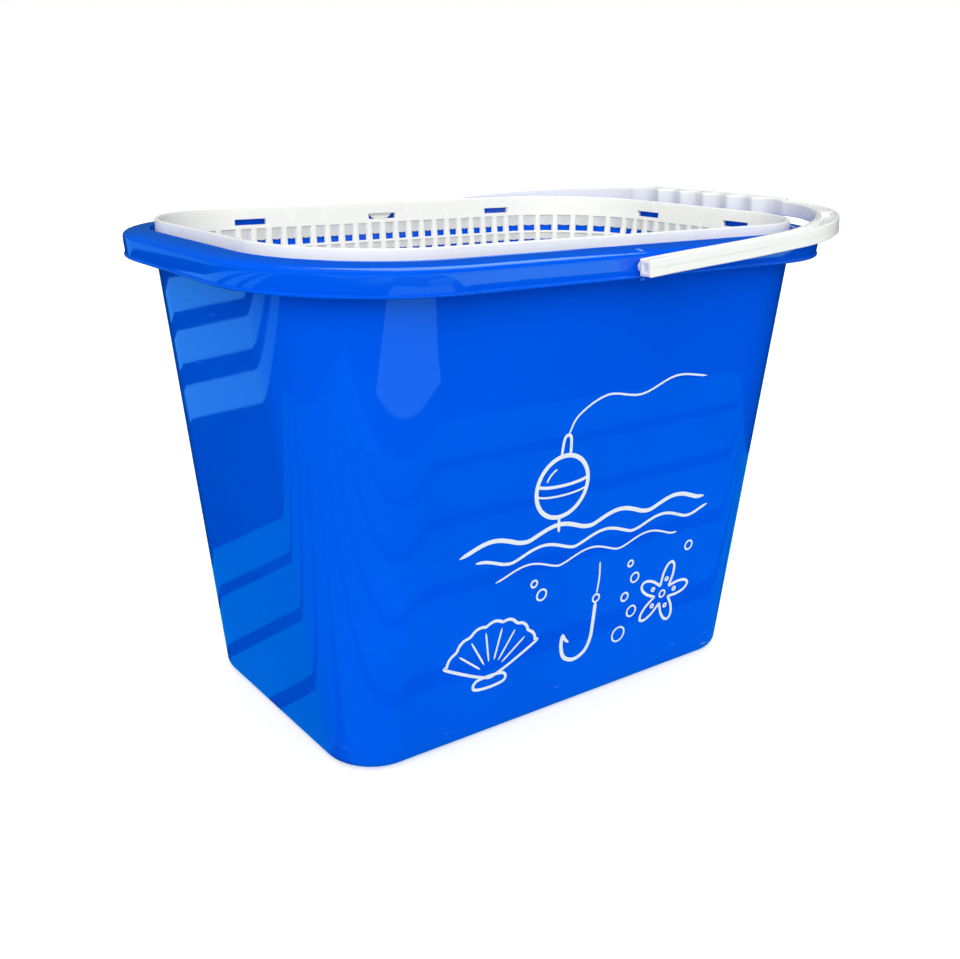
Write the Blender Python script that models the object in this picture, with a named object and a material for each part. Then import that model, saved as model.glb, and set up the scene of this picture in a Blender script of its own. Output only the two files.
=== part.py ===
"""A rectangular fishing bucket: a tapered tub, a strainer that lifts out of it, and a swinging bail.

Metres, +Z up. X runs along the bucket's length and Y across it, and the tub stands on Z = 0 with
its base centred on the origin. At rest the bail lies towards +X, on the corners of the rim.
"""

import math
from typing import NamedTuple

import bmesh
import bpy

# Clearances
SEAT_GAP = 0.0003
PIVOT_GAP = 0.0003

# Tub: the outer size at the base, and where the outer wall would meet the rim's height
TUB_HEIGHT = 0.260
BASE_LENGTH = 0.2768
BASE_WIDTH = 0.1704
BASE_CORNER = 0.028
MOUTH_LENGTH = 0.3372
MOUTH_WIDTH = 0.2254
MOUTH_CORNER = 0.068
TUB_WALL = 0.0022
TUB_FLOOR = 0.0026
BASE_EDGE = 0.006

# Ledge inside the mouth, which carries the strainer
LEDGE_DEPTH = 0.0079
LEDGE_WIDTH = 0.0026

# Rim: a flange, its turned-down skirt, and a bead round its inner edge
FLANGE_WIDTH = 0.0140
SKIRT_DEPTH = 0.0137
RIM_WALL = 0.0020
RIM_EDGE = 0.0035
BEAD_RADIUS = 0.0008

# Strengthening rib in the rim at each pivot
RIB_THICKNESS = 0.0036
RIB_REACH = 0.0060
RIB_RISE = 0.0015
RIB_DROP = 0.0012
RIB_PROUD = 0.0003

# Strainer: a plain band above a lattice wall and a slotted floor
BAND_PLAY = 0.0016
BAND_RISE = 0.0050
BAND_TOP_WALL = 0.0024
STRAINER_DEPTH = 0.092
STRAINER_WALL = 0.0022
STRAINER_FLOOR = 0.0022
STRAINER_CHAMFER = 0.005

# Lattice: windows between upright bars, in tiers
BAR_PITCH = 0.0098
BAR_WIDTH = 0.0044
LONG_WALL_WINDOWS = 20
END_WALL_WINDOWS = 12
CORNER_WINDOWS = 7
TIERS = 3
HOOP_HEIGHT = 0.0056

# Slots through the band, above the lattice
SLOT_LENGTH = 0.0200
SLOT_HEIGHT = 0.0034
SLOT_SPACING_LONG = 0.0900
SLOT_SPACING_END = 0.0760
SLOT_SILL = 0.0022

# Slots through the strainer's floor, in two rows
FLOOR_SLOT_LENGTH = 0.085
FLOOR_SLOT_WIDTH = 0.0050
FLOOR_SLOT_PITCH = 0.0105
FLOOR_SLOT_ROW_GAP = 0.012
FLOOR_SLOTS_PER_ROW = 11

# Bail, in its own plane: reach is measured from the pivot axis, and spread from the middle
PIVOT_DROP = 0.0073
ARM_GAP = 0.0030
ARM_WIDTH = 0.0077
ARM_SPLAY = 0.0036
ARM_SPLAY_LENGTH = 0.070
ARM_TAIL = 0.0068
BAIL_HEIGHT = 0.0083
INNER_REACH = 0.1668
INNER_CORNER = 0.0784
CROWN_WIDTH = 0.0160
OUTER_CORNER = 0.0854
RAIL_THICKNESS = 0.0020
WEB_THICKNESS = 0.0022
END_BLOCK = 0.0115
BLOCK_SLOPE = 0.0010
BLOCK_RECESS = 0.0003

# Grip: a thicker stretch of the bail, hollowed for the fingers on its inner side
FINGER_PITCH = 0.0200
FINGER_HOLLOWS = 4
END_HOLLOW = 0.0290
HOLLOW_DEPTH = 0.0022
GRIP_SETBACK = 0.0087
GRIP_WIDTH = 0.0107
GRIP_HEIGHT = 0.0105
GRIP_STEP = 0.0045

# Pegs moulded on the bail's arms
PEG_RADIUS = 0.0030
PEG_HEAD_RADIUS = 0.0042
PEG_TIP_RADIUS = 0.0034
PEG_HEAD_LENGTH = 0.0016
PEG_ROOT = 0.0026
HEAD_ROOM = 0.0006

# Facets
CORNER_STEPS = 12
EDGE_STEPS = 3
BAIL_CORNER_STEPS = 14
HOLLOW_STEPS = 6
ARM_STEPS = 6
ROUND_SIDES = 24

# Measuring points along and across the bail, and the rounds in which its rest angle settles
MEASURED_STEPS = 6
MEASURED_SHARES = (0.0, 0.25, 0.5, 0.75, 1.0)
REST_ROUNDS = 4

# Colours as linear red, green, blue
BLUE = (0.0, 0.098, 0.78)
WHITE = (0.86, 0.88, 0.88)

PIVOT_HEIGHT = TUB_HEIGHT - PIVOT_DROP
LEDGE_HEIGHT = TUB_HEIGHT - LEDGE_DEPTH
SKIRT_BOTTOM = TUB_HEIGHT - SKIRT_DEPTH


class Outline(NamedTuple):
    """A rounded rectangle about the origin: half its length, half its width and its corner radius."""

    x: float
    y: float
    corner: float

    def grown(self, amount):
        return Outline(self.x + amount, self.y + amount, self.corner + amount)

    def point(self, side, t):
        """A point of the first quarter: on the end wall, round the corner or on the long wall."""
        if side == "end":
            return self.x, t * (self.y - self.corner)
        if side == "long":
            return t * (self.x - self.corner), self.y
        angle = t * math.pi / 2
        return (
            self.x - self.corner + self.corner * math.cos(angle),
            self.y - self.corner + self.corner * math.sin(angle),
        )

    def ring(self, z, quarter):
        """A closed ring at height z: the first quarter's stations, mirrored into the other three."""
        first = [self.point(side, t) for side, t in quarter]
        back = first[::-1]
        around = first + [(-x, y) for x, y in back] + [(-x, -y) for x, y in first]
        around += [(x, -y) for x, y in back]
        return [(x, y, z) for x, y in around]

    def inset_of(self, x, y):
        """How far inside the outline a point lies, negative outside."""
        over_x = abs(x) - (self.x - self.corner)
        over_y = abs(y) - (self.y - self.corner)
        outside = math.hypot(max(over_x, 0.0), max(over_y, 0.0))
        return self.corner - outside - min(max(over_x, over_y), 0.0)


def blend(low, high, t):
    return low + (high - low) * t


def wall_outline(z):
    """The tub's outer wall at height z. It tapers evenly from the mouth to the base."""
    t = z / TUB_HEIGHT
    return Outline(
        blend(BASE_LENGTH, MOUTH_LENGTH, t) / 2,
        blend(BASE_WIDTH, MOUTH_WIDTH, t) / 2,
        blend(BASE_CORNER, MOUTH_CORNER, t),
    )


def inner_wall(z):
    return wall_outline(z).grown(-TUB_WALL)


def mouth_wall(z):
    """The inner wall above the ledge, where it stands further out."""
    return inner_wall(z).grown(LEDGE_WIDTH)


def rim_outline():
    return mouth_wall(TUB_HEIGHT).grown(FLANGE_WIDTH)


def rim_surface(inset):
    """Height of the rim's upper surface at a distance inside its outline."""
    if inset <= 0:
        return SKIRT_BOTTOM
    if inset >= RIM_EDGE:
        return TUB_HEIGHT
    return TUB_HEIGHT - RIM_EDGE + math.sqrt(RIM_EDGE**2 - (RIM_EDGE - inset) ** 2)


def band_outline():
    return mouth_wall(LEDGE_HEIGHT).grown(-BAND_PLAY)


def strainer_inside(z):
    """The strainer's inner face, which keeps the tub's taper all the way down."""
    top = TUB_HEIGHT + BAND_RISE
    face = band_outline().grown(-BAND_TOP_WALL)
    upper = wall_outline(top)
    here = wall_outline(z)
    return Outline(
        face.x - (upper.x - here.x),
        face.y - (upper.y - here.y),
        face.corner - (upper.corner - here.corner),
    )


def new_object(name, mesh, material, parent=None):
    obj = bpy.data.objects.new(name, mesh)
    bpy.context.scene.collection.objects.link(obj)
    obj.data.materials.append(material)
    obj.parent = parent
    return obj


def to_mesh(name, bm, sharp_degrees=35.0):
    """Turns the faces outwards and shades the round ones smooth."""
    bmesh.ops.remove_doubles(bm, verts=bm.verts, dist=1e-7)
    bmesh.ops.recalc_face_normals(bm, faces=bm.faces)
    mesh = bpy.data.meshes.new(name)
    bm.to_mesh(mesh)
    bm.free()
    mesh.shade_smooth()
    mesh.set_sharp_from_angle(angle=math.radians(sharp_degrees))
    return mesh


def add_ring(bm, points):
    return [bm.verts.new(point) for point in points]


def bridge(bm, low, high):
    """Quads between two closed rings of as many points."""
    count = len(low)
    for k in range(count):
        following = (k + 1) % count
        bm.faces.new((low[k], low[following], high[following], high[k]))


def loft(bm, rings):
    """One closed body through rings of as many points, capped at both ends."""
    loops = [add_ring(bm, ring) for ring in rings]
    for low, high in zip(loops, loops[1:]):
        bridge(bm, low, high)
    bm.faces.new(loops[0])
    bm.faces.new(loops[-1])


def rounding(radius, steps):
    """A quarter round as (distance from the flat side, height), from its foot to its top."""
    for k in range(steps + 1):
        angle = k / steps * math.pi / 2
        yield radius * (1 - math.sin(angle)), radius * (1 - math.cos(angle))


def plastic(name, colour, roughness):
    material = bpy.data.materials.new(name)
    material.use_nodes = True
    shader = material.node_tree.nodes["Principled BSDF"]
    shader.inputs["Base Color"].default_value = (*colour, 1.0)
    shader.inputs["Roughness"].default_value = roughness
    shader.inputs["Metallic"].default_value = 0.0
    return material


def cutter(name, bm):
    """A helper that only cuts or joins: drawn as wire, and left out of renders."""
    obj = bpy.data.objects.new(name, to_mesh(name, bm))
    bpy.context.scene.collection.objects.link(obj)
    obj.hide_render = True
    obj.display_type = "WIRE"
    return obj


def box_into(bm, low, high):
    """Adds a box between two corners."""
    made = bmesh.ops.create_cube(bm, size=1.0)["verts"]
    for vertex in made:
        vertex.co = [blend(low[k], high[k], vertex.co[k] + 0.5) for k in range(3)]


def add_boolean(obj, operation, other):
    modifier = obj.modifiers.new(other.name, "BOOLEAN")
    modifier.operation = operation
    modifier.solver = "EXACT"
    modifier.object = other


def round_profile(bm, side, height, sections):
    """A turned body about the pivot axis: sections are (distance from the middle, radius)."""
    rings = []
    for spread, radius in sections:
        angles = [k * 2 * math.pi / ROUND_SIDES for k in range(ROUND_SIDES)]
        rings.append([(radius * math.cos(a), side * spread, height + radius * math.sin(a)) for a in angles])
    loft(bm, rings)


def tub_rings():
    """The tub's section from the middle of its base, up outside, over the rim and down inside."""
    quarter = [("corner", k / CORNER_STEPS) for k in range(CORNER_STEPS + 1)]
    step_low = LEDGE_HEIGHT - TUB_WALL
    rim = rim_outline()
    under = TUB_HEIGHT - RIM_WALL
    inner_edge = mouth_wall(TUB_HEIGHT)
    path = []
    for inset, z in rounding(BASE_EDGE, EDGE_STEPS):
        path.append((wall_outline(z).grown(-inset), z))
    path.append((wall_outline(step_low), step_low))
    path.append((wall_outline(step_low).grown(LEDGE_WIDTH), step_low))
    path.append((wall_outline(under).grown(LEDGE_WIDTH), under))
    path.append((rim.grown(-RIM_WALL), under))
    path.append((rim.grown(-RIM_WALL), SKIRT_BOTTOM))
    path.append((rim, SKIRT_BOTTOM))
    for drop, inset in rounding(RIM_EDGE, EDGE_STEPS):
        path.append((rim.grown(-inset), TUB_HEIGHT - drop))
    for k in range(EDGE_STEPS + 2):
        angle = k / (EDGE_STEPS + 1) * math.pi
        out = BEAD_RADIUS * (1 + math.cos(angle))
        path.append((inner_edge.grown(out), TUB_HEIGHT + BEAD_RADIUS * math.sin(angle)))
    path.append((mouth_wall(LEDGE_HEIGHT), LEDGE_HEIGHT))
    path.append((inner_wall(LEDGE_HEIGHT), LEDGE_HEIGHT))
    inner_round = BASE_EDGE - TUB_WALL
    for inset, rise in reversed(list(rounding(inner_round, EDGE_STEPS))):
        z = TUB_FLOOR + rise
        path.append((inner_wall(z).grown(-inset), z))
    return [outline.ring(z, quarter) for outline, z in path]


def make_tub(material):
    bm = bmesh.new()
    loft(bm, tub_rings())
    tub = new_object("bucket_tub", to_mesh("bucket_tub", bm), material)
    face = rim_outline().y

    ribs = bmesh.new()
    for side in (-1, 1):
        near = side * (face - RIB_REACH)
        far = side * (face + RIB_PROUD)
        low = (-RIB_THICKNESS / 2, min(near, far), SKIRT_BOTTOM - RIB_DROP)
        high = (RIB_THICKNESS / 2, max(near, far), TUB_HEIGHT + RIB_RISE)
        box_into(ribs, low, high)
    add_boolean(tub, "UNION", cutter("rib_helper", ribs))

    holes = bmesh.new()
    room = PEG_HEAD_RADIUS + HEAD_ROOM
    bore = PEG_RADIUS + PIVOT_GAP
    skirt_inside = face - RIM_WALL
    for side in (-1, 1):
        sections = (
            (face - RIB_REACH - RIM_WALL, room),
            (skirt_inside, room),
            (skirt_inside, bore),
            (face + ARM_GAP, bore),
        )
        round_profile(holes, side, PIVOT_HEIGHT, sections)
    add_boolean(tub, "DIFFERENCE", cutter("peg_holes_helper", holes))
    return tub


def quarter_length(outline):
    end = outline.y - outline.corner
    corner = outline.corner * math.pi / 2
    return end, corner, end + corner + outline.x - outline.corner


def station_at(outline, distance):
    """Names the place at a distance along the first quarter, from the middle of the end wall."""
    end, corner, total = quarter_length(outline)
    if distance < end:
        return "end", distance / end
    if distance < end + corner:
        return "corner", (distance - end) / corner
    return "long", (total - distance) / (total - end - corner)


def window_edges(outline):
    """Where each window of the first quarter begins and ends, as distances along the outline."""
    total = quarter_length(outline)[2]
    on_end = END_WALL_WINDOWS // 2
    on_long = LONG_WALL_WINDOWS // 2
    start = on_end * BAR_PITCH
    corner_pitch = (total - on_long * BAR_PITCH - start) / CORNER_WINDOWS
    windows = [((k + 0.5) * BAR_PITCH, BAR_PITCH) for k in range(on_end)]
    windows += [(start + (k + 0.5) * corner_pitch, corner_pitch) for k in range(CORNER_WINDOWS)]
    windows += [(total - (k + 0.5) * BAR_PITCH, BAR_PITCH) for k in reversed(range(on_long))]
    edges = []
    for centre, pitch in windows:
        half = (pitch - BAR_WIDTH) / 2
        edges += [centre - half, centre + half]
    return edges


def lattice_heights():
    """Heights of the tiers' edges, from the band's lower edge down to the last hoop."""
    top = LEDGE_HEIGHT + SEAT_GAP
    bottom = TUB_HEIGHT + BAND_RISE - STRAINER_DEPTH + STRAINER_CHAMFER
    window = (top - bottom - TIERS * HOOP_HEIGHT) / TIERS
    heights = [top]
    for _ in range(TIERS):
        heights.append(heights[-1] - window)
        heights.append(heights[-1] - HOOP_HEIGHT)
    return heights


def lattice_wall(bm, outer, inner):
    """Joins the outer and inner rings of each tier, and leaves every window open."""
    count = len(outer[0])
    for level in range(len(outer) - 1):
        windowed = level % 2 == 0
        for k in range(count):
            n = (k + 1) % count
            upper_out, upper_in = outer[level], inner[level]
            lower_out, lower_in = outer[level + 1], inner[level + 1]
            if windowed and k % 2 == 0:
                bm.faces.new((upper_out[k], upper_out[n], upper_in[n], upper_in[k]))
                bm.faces.new((lower_out[k], lower_in[k], lower_in[n], lower_out[n]))
                bm.faces.new((upper_out[k], upper_in[k], lower_in[k], lower_out[k]))
                bm.faces.new((upper_out[n], lower_out[n], lower_in[n], upper_in[n]))
            else:
                bm.faces.new((upper_out[k], lower_out[k], lower_out[n], upper_out[n]))
                bm.faces.new((upper_in[k], upper_in[n], lower_in[n], lower_in[k]))


def make_strainer(material):
    heights = lattice_heights()
    top = TUB_HEIGHT + BAND_RISE
    bottom = top - STRAINER_DEPTH
    band = band_outline()
    shoulder = strainer_inside(heights[0]).grown(STRAINER_WALL)
    quarter = [station_at(shoulder, distance) for distance in window_edges(shoulder)]

    bm = bmesh.new()
    outer = []
    inner = []
    for z in heights:
        face = strainer_inside(z)
        outer.append(add_ring(bm, face.grown(STRAINER_WALL).ring(z, quarter)))
        inner.append(add_ring(bm, face.ring(z, quarter)))
    lattice_wall(bm, outer, inner)

    band_low = add_ring(bm, band.ring(heights[0], quarter))
    band_top = add_ring(bm, band.ring(top, quarter))
    inside_top = add_ring(bm, strainer_inside(top).ring(top, quarter))
    bridge(bm, outer[0], band_low)
    bridge(bm, band_low, band_top)
    bridge(bm, band_top, inside_top)
    bridge(bm, inside_top, inner[0])

    under = strainer_inside(bottom).grown(STRAINER_WALL - STRAINER_CHAMFER)
    floor_z = bottom + STRAINER_FLOOR
    floor = strainer_inside(floor_z).grown(STRAINER_FLOOR - STRAINER_CHAMFER)
    under_ring = add_ring(bm, under.ring(bottom, quarter))
    floor_ring = add_ring(bm, floor.ring(floor_z, quarter))
    bridge(bm, outer[-1], under_ring)
    bridge(bm, inner[-1], floor_ring)
    bm.faces.new(under_ring)
    bm.faces.new(floor_ring)
    strainer = new_object("strainer_basket", to_mesh("strainer_basket", bm), material)

    slots = bmesh.new()
    low_z = heights[0] + SLOT_SILL
    for k in (-1, 0, 1):
        middle = k * SLOT_SPACING_LONG
        half = SLOT_LENGTH / 2
        reach = band.y + BAND_PLAY
        low = (middle - half, -reach, low_z)
        box_into(slots, low, (middle + half, reach, low_z + SLOT_HEIGHT))
    add_boolean(strainer, "DIFFERENCE", cutter("long_slots_helper", slots))

    slots = bmesh.new()
    for side in (-1, 1):
        middle = side * SLOT_SPACING_END / 2
        half = SLOT_LENGTH / 2
        reach = band.x + BAND_PLAY
        low = (-reach, middle - half, low_z)
        box_into(slots, low, (reach, middle + half, low_z + SLOT_HEIGHT))
    add_boolean(strainer, "DIFFERENCE", cutter("end_slots_helper", slots))

    slots = bmesh.new()
    for row in (-1, 1):
        near = row * FLOOR_SLOT_ROW_GAP / 2
        far = row * (FLOOR_SLOT_ROW_GAP / 2 + FLOOR_SLOT_LENGTH)
        for k in range(FLOOR_SLOTS_PER_ROW):
            middle = (k - (FLOOR_SLOTS_PER_ROW - 1) / 2) * FLOOR_SLOT_PITCH
            low = (min(near, far), middle - FLOOR_SLOT_WIDTH / 2, bottom - STRAINER_FLOOR)
            high = (max(near, far), middle + FLOOR_SLOT_WIDTH / 2, floor_z + STRAINER_FLOOR)
            box_into(slots, low, high)
    add_boolean(strainer, "DIFFERENCE", cutter("floor_slots_helper", slots))
    return strainer


class Station(NamedTuple):
    """One cross-section of the bail: its inner and outer edge as (reach, spread), and its section."""

    inner: tuple
    outer: tuple
    height: float
    web: float


def arm_spread(reach):
    """Extra spread of an arm, which splays outwards from its pivot."""
    t = min(max(reach / ARM_SPLAY_LENGTH, 0.0), 1.0)
    return ARM_SPLAY * t * t * (3 - 2 * t)


def bail_half():
    """Stations from the end of one arm to the start of the grip, with spread counted outwards."""
    inner_arm = rim_outline().y + ARM_GAP
    outer_arm = inner_arm + ARM_WIDTH
    outer_reach = INNER_REACH + CROWN_WIDTH
    inner_turn = INNER_REACH - INNER_CORNER
    outer_turn = outer_reach - OUTER_CORNER
    block = BAIL_HEIGHT / 2 - BLOCK_RECESS
    web = WEB_THICKNESS / 2
    half = BAIL_HEIGHT / 2
    arm_length = ARM_TAIL + inner_turn
    channel = (END_BLOCK + BLOCK_SLOPE) / arm_length
    sections = [(0.0, block), (END_BLOCK / arm_length, block)]
    sections += [(blend(channel, 1.0, k / ARM_STEPS), web) for k in range(ARM_STEPS)]
    stations = []
    for share, web_half in sections:
        inner_u = blend(-ARM_TAIL, inner_turn, share)
        outer_u = blend(-ARM_TAIL, outer_turn, share)
        inner = (inner_u, inner_arm + arm_spread(inner_u))
        outer = (outer_u, outer_arm + arm_spread(outer_u))
        stations.append(Station(inner, outer, half, web_half))
    inner_middle = inner_arm + ARM_SPLAY - INNER_CORNER
    outer_middle = outer_arm + ARM_SPLAY - OUTER_CORNER
    grip_start = grip_half_length() + GRIP_STEP
    last = math.acos((grip_start - inner_middle) / INNER_CORNER)
    for k in range(BAIL_CORNER_STEPS + 1):
        angle = k / BAIL_CORNER_STEPS * last
        sine, cosine = math.sin(angle), math.cos(angle)
        inner = (inner_turn + INNER_CORNER * sine, inner_middle + INNER_CORNER * cosine)
        outer = (outer_turn + OUTER_CORNER * sine, outer_middle + OUTER_CORNER * cosine)
        stations.append(Station(inner, outer, half, web))
    return stations


def grip_half_length():
    return FINGER_HOLLOWS / 2 * FINGER_PITCH + END_HOLLOW


def grip_stations():
    """Stations across the whole grip, from positive spread to negative."""
    face = INNER_REACH + GRIP_SETBACK
    back = face + GRIP_WIDTH
    half = GRIP_HEIGHT / 2
    web = half - BLOCK_RECESS
    lengths = [END_HOLLOW] + [FINGER_PITCH] * FINGER_HOLLOWS + [END_HOLLOW]
    spread = grip_half_length()
    stations = [Station((face, spread), (back, spread), half, web)]
    for length in lengths:
        for k in range(1, HOLLOW_STEPS + 1):
            t = k / HOLLOW_STEPS
            y = spread - t * length
            hollow = face + HOLLOW_DEPTH * math.sin(math.pi * t)
            stations.append(Station((hollow, y), (back, y), half, web))
        spread -= length
    return stations


def bail_stations():
    half = bail_half()
    far = []
    for station in reversed(half):
        inner = (station.inner[0], -station.inner[1])
        outer = (station.outer[0], -station.outer[1])
        far.append(station._replace(inner=inner, outer=outer))
    return half + grip_stations() + far


def section_ring(station):
    """The H-shaped section: an inner and an outer rail, joined by a web."""
    width = math.dist(station.inner, station.outer)
    rail = RAIL_THICKNESS / width
    tall, low = station.height, station.web
    corners = (
        (0.0, -tall),
        (rail, -tall),
        (rail, -low),
        (1 - rail, -low),
        (1 - rail, -tall),
        (1.0, -tall),
        (1.0, tall),
        (1 - rail, tall),
        (1 - rail, low),
        (rail, low),
        (rail, tall),
        (0.0, tall),
    )
    ring = []
    for across, lift in corners:
        reach = blend(station.inner[0], station.outer[0], across)
        spread = blend(station.inner[1], station.outer[1], across)
        ring.append((reach, spread, lift))
    return ring


def rest_angle(stations):
    """The angle above level at which the bail's underside meets the rim with the seat's gap."""
    rim = rim_outline()
    angle = 0.0
    for _ in range(REST_ROUNDS):
        needed = 0.0
        for station in stations:
            for share in MEASURED_SHARES:
                reach = blend(station.inner[0], station.outer[0], share)
                spread = blend(station.inner[1], station.outer[1], share)
                x = reach * math.cos(angle) + station.height * math.sin(angle)
                inset = rim.inset_of(x, spread)
                if inset <= 0 or x <= 0:
                    continue
                clear = rim_surface(inset) + SEAT_GAP + station.height * math.cos(angle)
                needed = max(needed, math.asin((clear - PIVOT_HEIGHT) / reach))
        angle = needed
    return angle


def refined(stations):
    """The same path with more stations on it, for measuring."""
    for low, high in zip(stations, stations[1:]):
        for k in range(MEASURED_STEPS):
            t = k / MEASURED_STEPS
            inner = tuple(blend(a, b, t) for a, b in zip(low.inner, high.inner))
            outer = tuple(blend(a, b, t) for a, b in zip(low.outer, high.outer))
            yield Station(inner, outer, max(low.height, high.height), low.web)


def make_bail(material):
    stations = bail_stations()
    angle = rest_angle(list(refined(stations)))
    print(f"bail rests {math.degrees(angle):.3f} degrees above level")
    pivot = bpy.data.objects.new("bail_pivot_axis", None)
    bpy.context.scene.collection.objects.link(pivot)
    pivot.location = (0.0, 0.0, PIVOT_HEIGHT)
    pivot.rotation_euler = (0.0, -angle, 0.0)

    bm = bmesh.new()
    loft(bm, [section_ring(station) for station in stations])
    bail = new_object("bail_handle", to_mesh("bail_handle", bm), material, pivot)

    pegs = bmesh.new()
    face = rim_outline().y
    head = face - RIM_WALL - PIVOT_GAP
    for side in (-1, 1):
        sections = (
            (face + ARM_GAP + PEG_ROOT, PEG_RADIUS),
            (head, PEG_RADIUS),
            (head, PEG_HEAD_RADIUS),
            (head - PEG_HEAD_LENGTH, PEG_TIP_RADIUS),
        )
        round_profile(pegs, side, 0.0, sections)
    helper = cutter("pegs_helper", pegs)
    helper.parent = pivot
    add_boolean(bail, "UNION", helper)
    return bail


def main():
    for obj in list(bpy.data.objects):
        bpy.data.objects.remove(obj, do_unlink=True)
    blue = plastic("glossy_blue_plastic", BLUE, 0.22)
    white = plastic("white_plastic", WHITE, 0.38)
    make_tub(blue)
    make_strainer(white)
    make_bail(white)


main()
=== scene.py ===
"""A rectangular fishing bucket of moulded plastic, dressed for its portrait.

Three mouldings make the bucket: a blue tub with a rolled rim, a white strainer that hangs in its
mouth, and a white bail that snaps into the rim. Each is a class below that holds its sizes in
metres, works its surfaces out as arrays, and gives them a finish. X runs along the bucket, Y across
it and Z up, and the tub stands on Z = 0.
"""

import logging
import math
from dataclasses import dataclass
from enum import Enum

import bpy
import numpy as np
from mathutils import Matrix, Vector


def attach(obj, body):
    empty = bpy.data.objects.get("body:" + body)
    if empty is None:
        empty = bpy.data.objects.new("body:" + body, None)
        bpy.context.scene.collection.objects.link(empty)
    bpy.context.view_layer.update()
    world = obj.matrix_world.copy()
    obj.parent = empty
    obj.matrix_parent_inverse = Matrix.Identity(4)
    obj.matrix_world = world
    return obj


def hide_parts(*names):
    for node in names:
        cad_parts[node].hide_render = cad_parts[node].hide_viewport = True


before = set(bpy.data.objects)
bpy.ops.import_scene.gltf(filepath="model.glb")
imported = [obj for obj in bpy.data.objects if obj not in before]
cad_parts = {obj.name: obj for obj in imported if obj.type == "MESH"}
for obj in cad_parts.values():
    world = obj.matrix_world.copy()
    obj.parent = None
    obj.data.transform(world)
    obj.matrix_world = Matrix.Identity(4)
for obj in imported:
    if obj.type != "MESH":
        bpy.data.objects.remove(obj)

LOG = logging.getLogger("bucket")
MM = 0.001

# Edges sharper than this many degrees are shaded sharp, unless a piece asks for another angle.
CREASE = 35.0

Socket = bpy.types.NodeSocket
Colour = tuple[float, float, float]


# Outlines and meshes


class Stretch(Enum):
    """The stretch of a rounded rectangle on which a station lies."""

    END = 0
    ARC = 1
    LONG = 2


class Side(Enum):
    """The long side of the bucket on which one of a pair stands, by its direction along Y."""

    NEAR = -1
    FAR = 1

    def piece(self, name: str) -> str:
        """The name of the one on this side."""
        return f"{name}_{self.name.lower()}"


class Work(Enum):
    """What a helper body does to the body that it meets."""

    JOIN = "UNION"
    CUT = "DIFFERENCE"


@dataclass
class Loop:
    """Stations round a rounded rectangle, each with its stretch, its share of it and its quarter."""

    stretch: np.ndarray
    share: np.ndarray
    sign_x: np.ndarray
    sign_y: np.ndarray

    @staticmethod
    def mirrored(stretch: np.ndarray, share: np.ndarray) -> "Loop":
        """Repeats a quarter's stations in the other three quarters, in order round the loop.

        Args:
            stretch: the stretch of each station, from the end wall's middle to the long wall's middle.
            share: how far along its stretch each station lies, from 0 to 1.

        Returns:
            The whole loop, which starts beside +X and turns towards +Y.
        """
        one = np.ones(len(stretch))
        return Loop(
            np.concatenate([stretch, stretch[::-1], stretch, stretch[::-1]]),
            np.concatenate([share, share[::-1], share, share[::-1]]),
            np.concatenate([one, -one, -one, one]),
            np.concatenate([one, one, -one, -one]),
        )

    def place(self, outlines: np.ndarray, heights: np.ndarray) -> np.ndarray:
        """Puts the stations on a rounded rectangle at each height.

        An end or long station lies at its share of the straight stretch, and an arc station at its
        share of the quarter circle: x = half length - corner + corner cos a, and y likewise by sine.

        Args:
            outlines: half length, half width and corner radius, one row for each height.
            heights: the heights, one for each row or one for each row and station.

        Returns:
            Points as an array of rows by stations by three.
        """
        half_x, half_y, corner = (outlines[:, k : k + 1] for k in range(3))
        angle = self.share * (math.pi / 2)
        arc_x = half_x - corner + corner * np.cos(angle)
        arc_y = half_y - corner + corner * np.sin(angle)
        x = np.where(self.stretch == Stretch.END.value, half_x, arc_x)
        x = np.where(self.stretch == Stretch.LONG.value, self.share * (half_x - corner), x)
        y = np.where(self.stretch == Stretch.END.value, self.share * (half_y - corner), arc_y)
        y = np.where(self.stretch == Stretch.LONG.value, half_y, y)
        z = np.broadcast_to(np.reshape(heights, (len(outlines), -1)), x.shape)
        return np.stack([x * self.sign_x, y * self.sign_y, z], axis=-1)


def grown(outlines: np.ndarray, amount: np.ndarray | float) -> np.ndarray:
    """Moves outlines outwards by an amount, one for all or one for each row."""
    return outlines + np.reshape(amount, (-1, 1))


def mesh_object(
    name: str,
    points: np.ndarray,
    quads: np.ndarray,
    caps: list[np.ndarray] | None = None,
    crease: float = CREASE,
) -> bpy.types.Object:
    """Makes one closed body from points and faces, turned outwards and shaded smooth.

    The volume of the fan of triangles from the origin to every quad says which way the faces point,
    and a negative one turns them all round.

    Args:
        name: the object's name.
        points: the corners, N by 3, in metres.
        quads: corner numbers, M by 4.
        caps: further faces of any number of corners.
        crease: edges sharper than this many degrees are shaded sharp.

    Returns:
        The new object, at the origin.
    """
    used, index = np.unique(quads, return_inverse=True)
    if caps:
        used, index = np.unique(np.concatenate([quads.ravel(), *caps]), return_inverse=True)
    index = index.ravel()
    corners = index[: quads.size].reshape(-1, 4)
    points = points[used]
    a, b, c, d = (points[corners[:, k]] for k in range(4))
    volume = np.einsum("ij,ij->", a, np.cross(b, c)) + np.einsum("ij,ij->", a, np.cross(c, d))
    faces = [list(face) for face in (corners if volume > 0 else corners[:, ::-1])]
    start = quads.size
    for cap in caps or []:
        ring = index[start : start + len(cap)]
        faces.append(list(ring if volume > 0 else ring[::-1]))
        start += len(cap)
    mesh = bpy.data.meshes.new(name)
    mesh.from_pydata(points.tolist(), [], faces)
    mesh.validate()
    mesh.shade_smooth()
    mesh.set_sharp_from_angle(angle=math.radians(crease))
    obj = bpy.data.objects.new(name, mesh)
    bpy.context.scene.collection.objects.link(obj)
    return obj


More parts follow.
